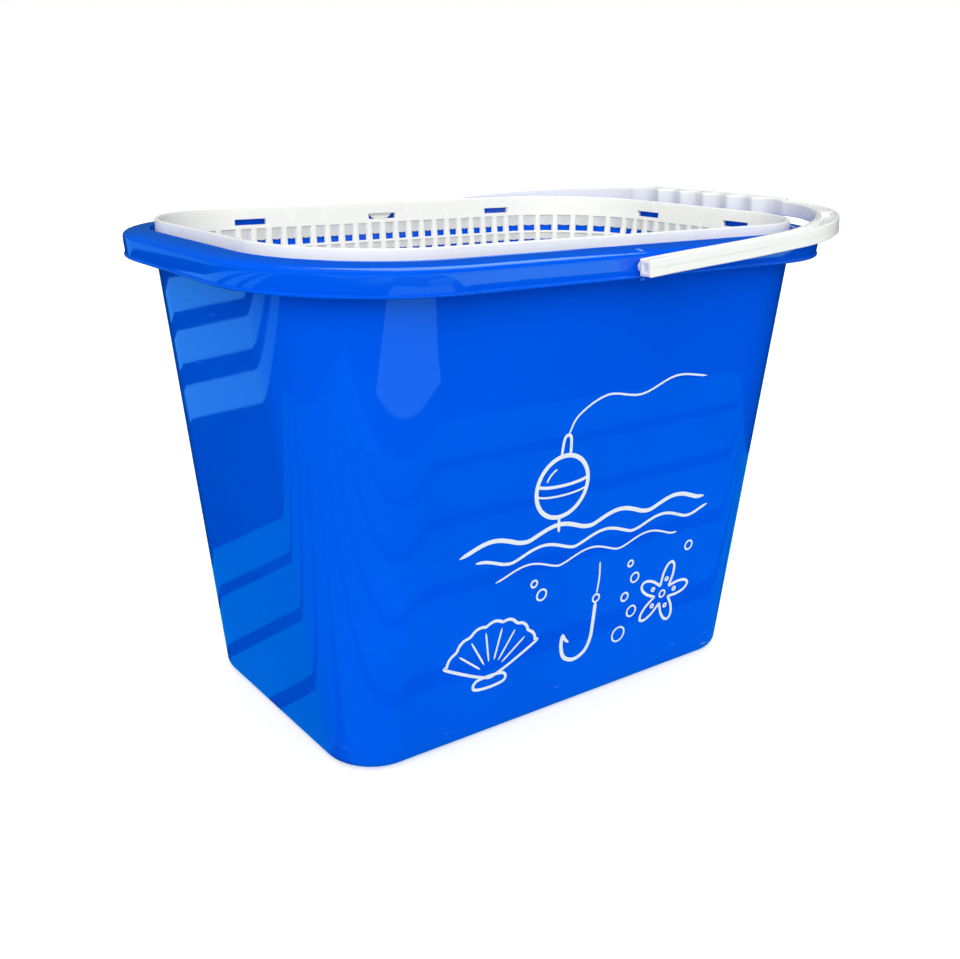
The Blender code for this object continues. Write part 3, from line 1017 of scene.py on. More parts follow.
    def floor_levels(self) -> list[Level]:
        """The rounded foot and the flat floor.

        Both faces of the foot turn about one middle: at an angle a a face of radius r has come in by
        r - r cos a and fallen by r sin a.

        Returns:
            Their levels, from the foot to the middle.
        """
        low = self.bottom + self.foot
        face = self.inside(np.array([low]))
        outer_radius, inner_radius = self.foot, self.foot - self.floor
        levels = []
        for turn in np.linspace(0, math.pi / 2, 6)[1:]:
            inner = grown(face, -inner_radius * (1 - math.cos(turn)))
            outer = grown(face, self.wall - outer_radius * (1 - math.cos(turn)))
            inner_z, outer_z = low - inner_radius * math.sin(turn), low - outer_radius * math.sin(turn)
            levels.append(Level(Gap.SOLID, inner, inner_z, outer, outer_z))
        for share in self.floor_shares:
            inner = grown(face, -inner_radius) * share
            outer = grown(face, self.wall - outer_radius) * share
            levels.append(Level(Gap.SOLID, inner, self.bottom + self.floor, outer, self.bottom))
        return levels

    def stations(self, outline: np.ndarray) -> tuple[Loop, dict[Gap, np.ndarray], np.ndarray]:
        """Stations round the wall, and which of the gaps between them are pocket, hole or slot.

        A distance along the first quarter is turned into a stretch and a share of it, and the loop's
        other quarters mirror it. The middle of each gap is folded back into the first quarter, and
        compared with the windows and slots there.

        Args:
            outline: half length, half width and corner radius at the shoulder.

        Returns:
            The loop, a mask over its gaps for each kind of opening, and a mask over its stations of
            those in the middle of a window.
        """
        middles, pitches, total = self.windows(outline)
        half_x, half_y, corner = outline
        pocket = (pitches - self.bar) / 2
        opening = pocket - self.margin
        parts = [middles - pocket, middles - opening, middles, middles + opening, middles + pocket]
        slots = [self.slot_end - self.slot_half, self.slot_end + self.slot_half]
        for middle in self.slots_long:
            slots += [total - middle - self.slot_half, total - middle + self.slot_half]
        distance = np.concatenate([*parts, np.array(slots)])
        # Distances are rounded to a micrometre, so that two that meet make one station.
        distance = np.unique(np.round(distance[distance < total - 1e-5], 6))
        distance = distance[np.concatenate([[True], np.diff(distance) > self.closest])]
        straight, bend = half_y - corner, corner * math.pi / 2
        stretch = np.where(distance < straight, Stretch.END.value, Stretch.ARC.value)
        stretch = np.where(distance > straight + bend, Stretch.LONG.value, stretch)
        share = np.where(stretch == Stretch.END.value, distance / straight, (distance - straight) / bend)
        share = np.where(stretch == Stretch.LONG.value, (total - distance) / (half_x - corner), share)
        back = distance[::-1]
        whole = np.concatenate([distance, 2 * total - back, 2 * total + distance, 4 * total - back])
        folded = np.mod((whole + np.append(whole[1:], whole[0] + 4 * total)) / 2, 2 * total)
        folded = np.where(folded > total, 2 * total - folded, folded)
        apart = np.abs(folded[:, None] - middles[None, :])
        masks = {Gap.POCKET: (apart < pocket).any(1), Gap.HOLE: (apart < opening).any(1)}
        masks[Gap.SLOT] = np.abs(folded - self.slot_end) < self.slot_half
        for place in self.slots_long:
            masks[Gap.SLOT] |= np.abs(total - folded - place) < self.slot_half
        both_ways = np.concatenate([middles, 2 * total - middles])
        nearest = np.abs(np.mod(whole, 2 * total)[:, None] - both_ways[None, :]).min(axis=1)
        return Loop.mirrored(stretch, share), masks, np.isclose(nearest, 0, atol=2e-6)

    def build(self) -> list[bpy.types.Object]:
        """Builds the strainer as one body of cells, and the tongues behind its middle slots.

        The wall is two layers of cells between levels and stations. A cell is solid or open, and a
        face stands wherever a solid cell meets an open one.

        Returns:
            The strainer and its two tongues.
        """
        levels = [*self.band_levels(), *self.lattice_levels(), *self.floor_levels()]
        shoulder = self.inside(np.array([TUB.ledge_height + self.seat_gap]))[0] + self.wall
        loop, masks, in_middle = self.stations(shoulder)
        inner = np.concatenate([level.inner for level in levels])
        outer = np.concatenate([level.outer for level in levels])
        inner_z, outer_z = np.array([(level.inner_z, level.outer_z) for level in levels]).T
        split = self.pocket_depth / self.wall
        middle = inner * (1 - split) + outer * split
        middle_z = inner_z * (1 - split) + outer_z * split
        sheets = ((inner, inner_z), (middle, middle_z), (outer, outer_z))
        points = np.stack([loop.place(outlines, heights) for outlines, heights in sheets])
        for number, level in enumerate(levels):
            if level.gap is Gap.HOLE:
                points[1:, number, in_middle, 2] -= self.lip_drop

        kind = np.array([level.gap.value for level in levels[:-1]])[:, None]
        slot = (kind == Gap.SLOT.value) & masks[Gap.SLOT]
        open_inner = slot | (np.isin(kind, (Gap.POCKET.value, Gap.HOLE.value)) & masks[Gap.POCKET])
        open_outer = slot | ((kind == Gap.HOLE.value) & masks[Gap.HOLE])
        quads, skins = self.cell_faces(np.stack([~open_inner, ~open_outer]))
        _, level_count, count, _ = points.shape
        last = (level_count - 1) * count + np.arange(count)
        caps = [last, (last + 2 * level_count * count)[::-1]]
        flat = points.reshape(-1, 3)
        strainer = mesh_object("strainer_moulding", flat, quads, caps, self.wall_crease)
        self.dress(strainer, skins)
        bevel = strainer.modifiers.new("soft_edges", "BEVEL")
        bevel.width = self.edge
        bevel.segments = 1
        bevel.limit_method = "ANGLE"
        bevel.angle_limit = math.radians(self.edge_angle)
        bevel.use_clamp_overlap = False
        keep_modified(strainer, self.kept_crease)
        carve(strainer, [(Work.CUT, self.floor_slots())], self.kept_crease)
        pieces = [strainer, *(self.tongue(side) for side in Side)]
        for piece in pieces:
            if not piece.data.materials:
                piece.data.materials.append(strainer.data.materials[0])
            # The rim stays a plain blue, with no reflection of the strainer in it.
            piece.visible_glossy = False
            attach(piece, "strainer")
        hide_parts("strainer_basket")
        return pieces

    def dress(self, strainer: bpy.types.Object, skins: int) -> None:
        """Gives the strainer its two finishes: the thin skin behind a pocket gets a darker copy of the white,
        painted shade on the recessed pocket floors.

        Args:
            strainer: the strainer.
            skins: how many faces at the start are the pockets' floors.
        """
        strainer.data.materials.append(self.finish.material())
        strainer.data.materials.append(self.pocket_shade_finish.material())
        slots = np.zeros(len(strainer.data.polygons), dtype=np.int32)
        # The pockets' floors take the darker copy, which is painted shade.
        slots[:skins] = 1
        strainer.data.polygons.foreach_set("material_index", slots)

    @staticmethod
    def cell_faces(solid: np.ndarray) -> tuple[np.ndarray, int]:
        """Faces between solid and open cells.

        Point (layer, level, station) has the number (layer levels + level) count + station, and the
        station past the last is the first one.

        Args:
            solid: two layers by gaps between levels by gaps between stations.

        Returns:
            Corner numbers, M by 4, and how many faces at their start are the pockets' floors.
        """
        levels, count = solid.shape[1] + 1, solid.shape[2]
        found: list[np.ndarray] = []

        def add(
            cells: np.ndarray, where: tuple[np.ndarray, ...], steps: tuple[tuple[int, int, int], ...]
        ) -> None:
            """Keeps one face at each place, turned round where the cell before it is solid.

            Args:
                cells: whether the cell before each place is solid.
                where: layers, levels and stations.
                steps: what to add to those for each corner.
            """
            corners = []
            for step in steps:
                layer, level, station = (place + more for place, more in zip(where, step))
                corners.append((layer * levels + level) * count + station % count)
            block = np.stack(corners, axis=1)
            found.append(np.where(cells[where][:, None], block[:, ::-1], block))

        empty = np.zeros_like(solid[:1])
        through = np.concatenate([empty, solid, empty])
        where = np.nonzero(through[1:] != through[:-1])
        order = np.argsort(where[0] != 1, kind="stable")
        where = tuple(places[order] for places in where)
        add(through, where, ((0, 0, 0), (0, 0, 1), (0, 1, 1), (0, 1, 0)))

        down = np.concatenate([np.zeros_like(solid[:, :1]), solid], axis=1)
        below = np.nonzero(down[:, 1:] != down[:, :-1])
        add(down, below, ((0, 0, 0), (1, 0, 0), (1, 0, 1), (0, 0, 1)))

        beside = np.roll(solid, 1, axis=2)
        add(beside, np.nonzero(solid != beside), ((0, 0, 0), (0, 1, 0), (1, 1, 0), (1, 0, 0)))
        return np.concatenate(found), int((where[0] == 1).sum())

    def floor_slots(self) -> bpy.types.Object:
        """A helper of long slots with round ends, in two rows, that cuts the floor.

        Returns:
            The helper, one closed body for each slot.
        """
        length, width = self.floor_slot
        rings: list[np.ndarray] = []
        turn = np.linspace(-math.pi / 2, math.pi / 2, 7)
        reach = length / 2 - width / 2
        x = np.concatenate([reach + width / 2 * np.cos(turn), -reach - width / 2 * np.cos(turn)])
        y = np.concatenate([width / 2 * np.sin(turn), -width / 2 * np.sin(turn)])
        around = len(x)
        for row in (-1, 1):
            for k in range(self.floor_count):
                centre_x = row * (self.floor_gap + length) / 2
                centre_y = (k - (self.floor_count - 1) / 2) * self.floor_pitch
                for z in (self.bottom - self.floor, self.bottom + 2 * self.floor):
                    rings.append(np.column_stack([x + centre_x, y + centre_y, np.full(around, z)]))
        points = np.concatenate(rings)
        starts = range(0, len(points), 2 * around)
        quads = np.concatenate([grid_quads(2, around, True, first) for first in starts])
        caps = []
        for first in starts:
            caps += [first + np.arange(around)[::-1], first + around + np.arange(around)]
        return mesh_object("floor_slots", points, quads, caps)

    def tongue(self, side: Side) -> bpy.types.Object:
        """The round-ended tongue that hangs behind the middle slot of each long wall.

        Its edge is the lower part of a circle: half its width at a depth d below the circle's middle
        is the square root of r squared less d squared.

        Args:
            side: the long wall it hangs on.

        Returns:
            The tongue.
        """
        radius, centre = self.tongue_radius, self.tongue_centre
        top, second = self.tongue_top
        z = np.concatenate([[top], np.linspace(second, centre - radius + self.tongue_tip, 9)])
        half = np.sqrt(np.maximum(radius**2 - (centre - z) ** 2, 1e-9))
        across = np.linspace(-1, 1, 13)
        x = half[:, None] * across[None, :]
        heights = np.broadcast_to(z[:, None], x.shape)
        sheets = []
        for depth in self.tongue_faces:
            y = side.value * (self.band()[0, 1] + depth)
            sheets.append(np.stack([x, np.full(x.shape, y), heights], axis=-1))
        rows, columns = x.shape
        points = np.concatenate([sheet.reshape(-1, 3) for sheet in sheets])
        index = np.arange(rows * columns).reshape(rows, columns)
        border = np.concatenate([index[0, :-1], index[:-1, -1], index[-1, :0:-1], index[:0:-1, 0]])
        following = np.roll(border, -1)
        shift = rows * columns
        walls = np.stack([border, following, following + shift, border + shift], axis=1)
        front, back = grid_quads(rows, columns, False)[:, ::-1], grid_quads(rows, columns, False, shift)
        return mesh_object(side.piece("strainer_tongue"), points, np.concatenate([front, back, walls]))


# The bail


@dataclass
class Course:
    """The bail's course, one value for each station from the end of one arm to that of the other.

    edges holds the reach and spread of the inner edge and of the outer edge, four rows in all. grip
    is how far the section has turned into the grip, end how far its channel is filled, and inset how
    much smaller it is all round.
    """

    edges: np.ndarray
    grip: np.ndarray
    end: np.ndarray
    inset: np.ndarray


@dataclass
class Bail:
    """The white bail: two channel arms, a wide crown, and a grip hollowed for four fingers.

    Reach is measured from the pivot axis and spread from the bail's middle. inner_corner is how far
    the inner corner goes along the arm and along the crown. The rails are shares of the width. nose
    pairs a station's distance from the tip of an arm with its inset, and boss_rings a depth into the
    arm with an inset. head_profile is the peg's head from behind the skirt inwards, as distances and
    radii. gussets are the places of the channel's cross webs, in degrees round the corner.
    """

    height: float = 0.0083
    arm_gap: float = 0.0030
    arm_width: float = 0.0077
    splay: float = 0.0036
    splay_length: float = 0.070
    tail: float = 0.0068
    inner_reach: float = 0.1750
    inner_corner: tuple[float, float] = (0.0875, 0.0680)
    corner_power: float = 1.7
    crown_width: float = 0.0078
    outer_corner: float = 0.0854
    inner_rail: float = 0.26
    outer_rail: float = 0.20
    rail_edge: float = 0.0006
    web: float = 0.0032
    fill_depth: float = 0.0003
    end_block: float = 0.0115
    end_slope: float = 0.0012
    nose: tuple[tuple[float, float], ...] = (
        (0.0004, 0.0024),
        (0.0003, 0.0021),
        (0.0, 0.0018),
        (0.0, 0.0011),
        (0.00008, 0.00065),
        (0.0003, 0.00028),
        (0.00065, 0.00008),
        (0.0011, 0.0),
    )
    finger_pitch: float = 0.0200
    fingers: int = 4
    finger_power: float = 0.75
    grip_end: float = 0.0185
    end_hollow: tuple[float, float, float] = (0.009, 0.012, 0.026)
    hollow_depth: float = 0.0042
    grip_back: float = 0.1862
    grip_height: float = 0.0105
    grip_blend: float = 0.0090
    grip_edge: float = 0.0007
    gussets: tuple[float, ...] = (52.0,)
    gusset: float = 0.0015
    gusset_fill: float = 0.86
    edge: float = 0.0007
    groove: float = 0.0006
    groove_half: float = 0.0005
    grooves: tuple[float, ...] = (0.62, 0.30, -0.02)
    boss_run: float = 0.0036
    boss_radius: float = 0.0028
    boss_rings: tuple[tuple[float, float], ...] = (
        (0.0016, 0.0),
        (-0.0013, 0.0),
        (-0.0016, 0.0001),
        (-0.0018, 0.0004),
    )
    peg_root: float = 0.0026
    peg_radius: float = 0.0030
    head_gap: float = 0.0003
    head_profile: tuple[tuple[float, float], ...] = (
        (-0.0002, 0.0030),
        (0.0, 0.0031),
        (0.00005, 0.0041),
        (0.0003, 0.0042),
        (0.0012, 0.0037),
        (0.0016, 0.0031),
        (0.0016, 0.0012),
    )
    rest_degrees: float = 4.757
    crease: float = 40.0
    finish: MouldedPlastic = WHITE_PLASTIC

    @property
    def grip_half(self) -> float:
        """Half the grip's length."""
        return self.fingers / 2 * self.finger_pitch + self.grip_end

    @property
    def arm_spread(self) -> tuple[float, float]:
        """Spread of an arm's inner and outer edge at the pivot."""
        inner = TUB.rim_spread + self.arm_gap
        return inner, inner + self.arm_width

    @property
    def turn_reach(self) -> tuple[float, float]:
        """Reach at which the inner and the outer edge start to turn."""
        inner = self.inner_reach - self.inner_corner[0]
        return inner, self.inner_reach + self.crown_width - self.outer_corner

    @property
    def turn_spread(self) -> tuple[float, float]:
        """Spread at which the inner and the outer edge have turned into the crown."""
        inner, outer = self.arm_spread
        return inner + self.splay - self.inner_corner[1], outer + self.splay - self.outer_corner

    def hollow(self, spread: np.ndarray) -> np.ndarray:
        """How far the grip's inner face is sunk for the fingers.

        Each finger has a hollow of (1 - cos) / 2 to a power. Past the last one the face sinks once
        more, stays, and comes back slowly into the plain crown.

        Args:
            spread: distances from the middle.

        Returns:
            The depths.
        """
        last = self.fingers / 2 * self.finger_pitch
        off = np.abs(spread)
        finger = (1 - np.cos(2 * math.pi * off / self.finger_pitch)) / 2
        sink, hold, over = self.end_hollow
        past = np.clip(off - last, 0, over)
        sunk = (1 - np.cos(math.pi * np.minimum(past / sink, 1))) / 2
        back = (1 + np.cos(math.pi * np.clip((past - hold) / (over - hold), 0, 1))) / 2
        deep = np.where(off < last, finger**self.finger_power, sunk**self.finger_power * back)
        return self.hollow_depth * deep

    def splayed(self, reach: np.ndarray) -> np.ndarray:
        """How far an arm has gone outwards: 3 t^2 - 2 t^3 of the splay, for t along its length."""
        t = np.clip(reach / self.splay_length, 0, 1)
        return self.splay * t * t * (3 - 2 * t)

    def inner_face(self, spread: np.ndarray) -> np.ndarray:
        """Reach of the crown's inner face: the corner's superellipse, sunk by the hollows.

        With u = (spread - that of the corner's middle) / b and p its power, the face lies
        a (1 - u^p)^(1/p) beyond the corner's start on the arm.

        Args:
            spread: distances from the middle.

        Returns:
            The reach at each.
        """
        along, aside = self.inner_corner
        past = np.maximum(np.abs(spread) - self.turn_spread[0], 0.0) / aside
        plain = self.turn_reach[0] + along * (1 - past**self.corner_power) ** (1 / self.corner_power)
        return plain + self.hollow(spread)

    def arm(self) -> np.ndarray:
        """One arm's edges, from its rounded nose to where the corner starts.

        Returns:
            Reach and spread of the inner edge and of the outer edge, four by stations.
        """
        (arm_in, arm_out), (turn_in, turn_out) = self.arm_spread, self.turn_reach
        length = self.tail + turn_in
        block = self.end_block / length
        nose = np.array([off for off, _ in self.nose]) / length
        # The channel opens just behind the arm's solid block.
        share = np.concatenate([nose, [block, block + 0.012], np.linspace(block + 0.04, 1, 22)[:-1]])
        reach_in = -self.tail + share * length
        reach_out = -self.tail + share * (self.tail + turn_out)
        spread_in, spread_out = arm_in + self.splayed(reach_in), arm_out + self.splayed(reach_out)
        return np.stack([reach_in, spread_in, reach_out, spread_out])

    def corner(self) -> tuple[np.ndarray, np.ndarray]:
        """One corner's edges, with close stations at the channel's cross webs.

        The inner edge is the superellipse |x / a|^p + |y / b|^p = 1, whose points are a sin^(2/p) and
        b cos^(2/p) of an angle. The outer edge is an arc. Both end where the grip's blend starts. A
        web has its stations at 1.0 and 1.4 half widths from its middle, and no other within 2.2.

        Returns:
            Reach and spread of both edges, four by stations, and 1 at each station of a web.
        """
        along, aside = self.inner_corner
        (turn_in, turn_out), (middle_in, middle_out) = self.turn_reach, self.turn_spread
        start = self.grip_half + self.grip_blend
        last = math.acos(((start - middle_in) / aside) ** (self.corner_power / 2))
        places = np.radians(np.array(self.gussets))
        step = self.gusset / 2 / along
        edges = np.concatenate([places + offset * step for offset in (-1.4, -1.0, 1.0, 1.4)])
        turn = np.linspace(0, last, 40)
        turn = turn[(np.abs(turn[:, None] - places[None, :]) > 2.2 * step).all(axis=1)]
        turn = np.sort(np.concatenate([turn, edges]))
        web = (np.abs(turn[:, None] - places[None, :]) < 1.2 * step).any(axis=1).astype(float)
        reach_in = turn_in + along * np.sin(turn) ** (2 / self.corner_power)
        spread_in = middle_in + aside * np.cos(turn) ** (2 / self.corner_power)
        reach_out = turn_out + self.outer_corner * np.sin(turn)
        spread_out = middle_out + self.outer_corner * np.cos(turn)
        return np.stack([reach_in, spread_in, reach_out, spread_out]), web

    def path(self) -> Course:
        """The bail's course in its own plane, from the end of one arm to the end of the other.

        Between corner and grip the outer edge moves to the grip's back by a smooth step, and the
        second half of the bail mirrors the first.

        Returns:
            The course.
        """
        arm = self.arm()
        corner, web = self.corner()
        t = np.linspace(0, 1, 12)[1:]
        ease = t * t * (3 - 2 * t)
        spread = self.grip_half + self.grip_blend - t * self.grip_blend
        reach_out = corner[2, -1] * (1 - ease) + self.grip_back * ease
        spread_out = corner[3, -1] * (1 - t) + self.grip_half * t
        blend = np.stack([self.inner_face(spread), spread, reach_out, spread_out])
        y = np.linspace(self.grip_half, -self.grip_half, 118)[1:-1]
        grip = np.stack([self.inner_face(y), y, np.full(len(y), self.grip_back), y])
        half = np.concatenate([arm, corner, blend], axis=1)
        mirrored = half[:, ::-1] * np.array([[1], [-1], [1], [-1]])

        turned = np.concatenate([np.zeros(arm.shape[1] + corner.shape[1]), ease])
        filled = np.clip((self.end_block - (arm[0] + self.tail)) / self.end_slope + 1, 0, 1)
        filled = np.concatenate([filled, web * self.gusset_fill, np.zeros(blend.shape[1])])
        inset = np.zeros(half.shape[1])
        inset[: len(self.nose)] = [inset_here for _, inset_here in self.nose]
        none, full = np.zeros(len(y)), np.ones(len(y))
        return Course(
            edges=np.concatenate([half, grip, mirrored], axis=1),
            grip=np.concatenate([turned, full, turned[::-1]]),
            end=np.concatenate([filled, none, filled[::-1]]),
            inset=np.concatenate([inset, none, inset[::-1]]),
        )

    def section(self, course: Course, width: np.ndarray) -> tuple[np.ndarray, np.ndarray]:
        """The H-shaped section at every station, as distances across it and heights above its middle.

        From the middle of the inner face the outline runs up round the inner rail, down into the
        channel to the web, up over the outer rail and down the grooved outer face. The lower half
        is its mirror, without the grooves. In the grip and in the arms' ends the web fills the
        channel, and in a cross web it nearly does.

        Args:
            course: the bail's course.
            width: the section's width at each station.

        Returns:
            Distances across and heights, each stations by points.
        """
        grip, end, width = (values[:, None] for values in (course.grip, course.end, width))
        half = (self.height + (self.grip_height - self.height) * grip) / 2
        radius = self.edge + self.grip_edge * grip
        fill = np.maximum(grip, end)
        web = self.web / 2 * (1 - fill) + (half - self.fill_depth) * fill
        soft = self.rail_edge
        turn = np.array([[0.0, 0.25, 0.5, 0.75, 1.0]]) * math.pi / 2
        rounding_in = radius * (1 - np.cos(turn))
        rounding_up = half - radius * (1 - np.sin(turn))
        one = np.ones_like(half)
        rail = self.inner_rail * width
        far = width * (1 - self.outer_rail)
        shoulder, crook = half - soft * (1 - fill), web + soft * (1 - fill) * 0.5
        across = [one * 0, one * 0, rounding_in, rail - soft, rail, rail, rail + soft]
        lift = [one * 0, half * 0.5, rounding_up, half, shoulder, crook, web]
        across += [(rail + far) / 2, far - soft, far, far, far + soft, (width - rounding_in)[:, ::-1]]
        lift += [web, web, crook, shoulder, half, rounding_up[:, ::-1]]
        for place in self.grooves:
            for step, depth in ((self.groove_half, 0.0), (0.0, 1.0), (-self.groove_half, 0.0)):
                across.append(width - self.groove * depth)
                lift.append(half * place + step)
        upper_across, upper_lift = np.concatenate(across, axis=1), np.concatenate(lift, axis=1)
        keep = upper_across.shape[1] - 1
        lower_across, lower_lift = upper_across[:, 1:keep][:, ::-1], -upper_lift[:, 1:keep][:, ::-1]
        plain = slice(0, 3 * len(self.grooves) - 2)
        lower_across[:, plain] = np.broadcast_to(width, lower_across[:, plain].shape)
        whole_across = np.concatenate([upper_across[:, :keep], lower_across], axis=1)
        return whole_across, np.concatenate([upper_lift[:, :keep], lower_lift], axis=1)

    def tilted(self, reach: np.ndarray, spread: np.ndarray, lift: np.ndarray) -> np.ndarray:
        """Turns points of the bail's own plane about the pivot axis to where the bail rests.

        Args:
            reach: distances from the axis along the bail.
            spread: distances along the axis.
            lift: heights above the bail's plane.

        Returns:
            The points, with a last axis of three.
        """
        angle = math.radians(self.rest_degrees)
        x = reach * math.cos(angle) - lift * math.sin(angle)
        z = TUB.pivot_height + reach * math.sin(angle) + lift * math.cos(angle)
        return np.stack([x, spread, z], axis=-1)

    def build(self) -> list[bpy.types.Object]:
        """Builds the bail, its two pegs and the pads round them.

        Returns:
            The pieces.
        """
        course = self.path()
        inner, outer = course.edges[:2].T, course.edges[2:].T
        width = np.linalg.norm(outer - inner, axis=1)
        direction = (outer - inner) / width[:, None]
        across, lift = self.section(course, width)
        inset = course.inset[:, None]
        across = np.clip(across, inset, width[:, None] - inset)
        limit = np.abs(lift).max(axis=1, keepdims=True) - inset
        lift = np.clip(lift, -limit, limit)
        reach = inner[:, :1] + direction[:, :1] * across
        spread = inner[:, 1:] + direction[:, 1:] * across
        bail = sweep_object("bail_moulding", self.tilted(reach, spread, lift), self.crease)
        bail.data.materials.append(self.finish.material())
        pieces = [bail, *(self.peg(side) for side in Side), *(self.boss(side) for side in Side)]
        for piece in pieces:
            if not piece.data.materials:
                piece.data.materials.append(bail.data.materials[0])
            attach(piece, "bail")
        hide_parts("bail_handle")
        return pieces

    def boss(self, side: Side) -> bpy.types.Object:
        """The raised pad round one peg: a stadium on the arm's inner face with a softened edge.

        Args:
            side: the arm it is on.

        Returns:
            The pad.
        """
        face = self.arm_spread[0]
        turn = np.linspace(-math.pi / 2, math.pi / 2, 13)
        rings = []
        for depth, shrink in self.boss_rings:
            size = self.boss_radius - shrink
            half_turn = self.boss_run + size * np.cos(turn)
            reach = np.concatenate([half_turn, -half_turn])
            lift = np.concatenate([size * np.sin(turn), -size * np.sin(turn)])
            rings.append(self.tilted(reach, np.full(reach.shape, side.value * (face + depth)), lift))
        return sweep_object(side.piece("bail_boss"), np.stack(rings), self.crease)

    def peg(self, side: Side) -> bpy.types.Object:
        """The snap peg of one arm: a round shank with a barbed head behind the rim's skirt.

        Args:
            side: the arm it is on.

        Returns:
            The peg.
        """
        head = TUB.rim_spread - TUB.rim_wall - self.head_gap
        sections = [(self.arm_spread[0] + self.peg_root, self.peg_radius)]
        sections += [(head - depth, radius) for depth, radius in self.head_profile]
        rings = turned_rings(sections, TUB.pivot_height, side)
        return sweep_object(side.piece("bail_peg"), rings, self.crease)


# The print on the front


@dataclass(frozen=True)
class Stroke:
    """A drawn line on the front wall: its points and width in millimetres, and whether it closes.

    An open line thins towards its ends, over its taper times half its width.
    """

    points: tuple[tuple[float, float], ...]
    width: float
    closed: bool = False
    taper: float = 1.0

    def course(self, steps: int = 6) -> np.ndarray:
        """A smooth curve through the points.

        Between two points p1 and p2 with neighbours p0 and p3 the curve is the Catmull-Rom cubic
        (2 p1 + (p2 - p0) t + (2 p0 - 5 p1 + 4 p2 - p3) t^2 + (3 p1 - p0 - 3 p2 + p3) t^3) / 2.

        Args:
            steps: how many points it has between two given ones.

        Returns:
            The curve's points in metres, N by 2.
        """
        given = np.array(self.points) * MM
        if self.closed:
            p0, p1, p2, p3 = (np.roll(given, shift, 0) for shift in (1, 0, -1, -2))
        else:
            padded = np.concatenate([2 * given[:1] - given[1:2], given, 2 * given[-1:] - given[-2:-1]])
            p0, p1, p2, p3 = padded[:-3], padded[1:-2], padded[2:-1], padded[3:]
        t = (np.arange(steps) / steps)[None, :, None]
        p0, p1, p2, p3 = (p[:, None, :] for p in (p0, p1, p2, p3))
        square = 2 * p0 - 5 * p1 + 4 * p2 - p3
        cube = 3 * p1 - p0 - 3 * p2 + p3
        curve = (2 * p1 + (p2 - p0) * t + square * t**2 + cube * t**3).reshape(-1, 2) / 2
        return curve if self.closed else np.concatenate([curve, given[-1:]])


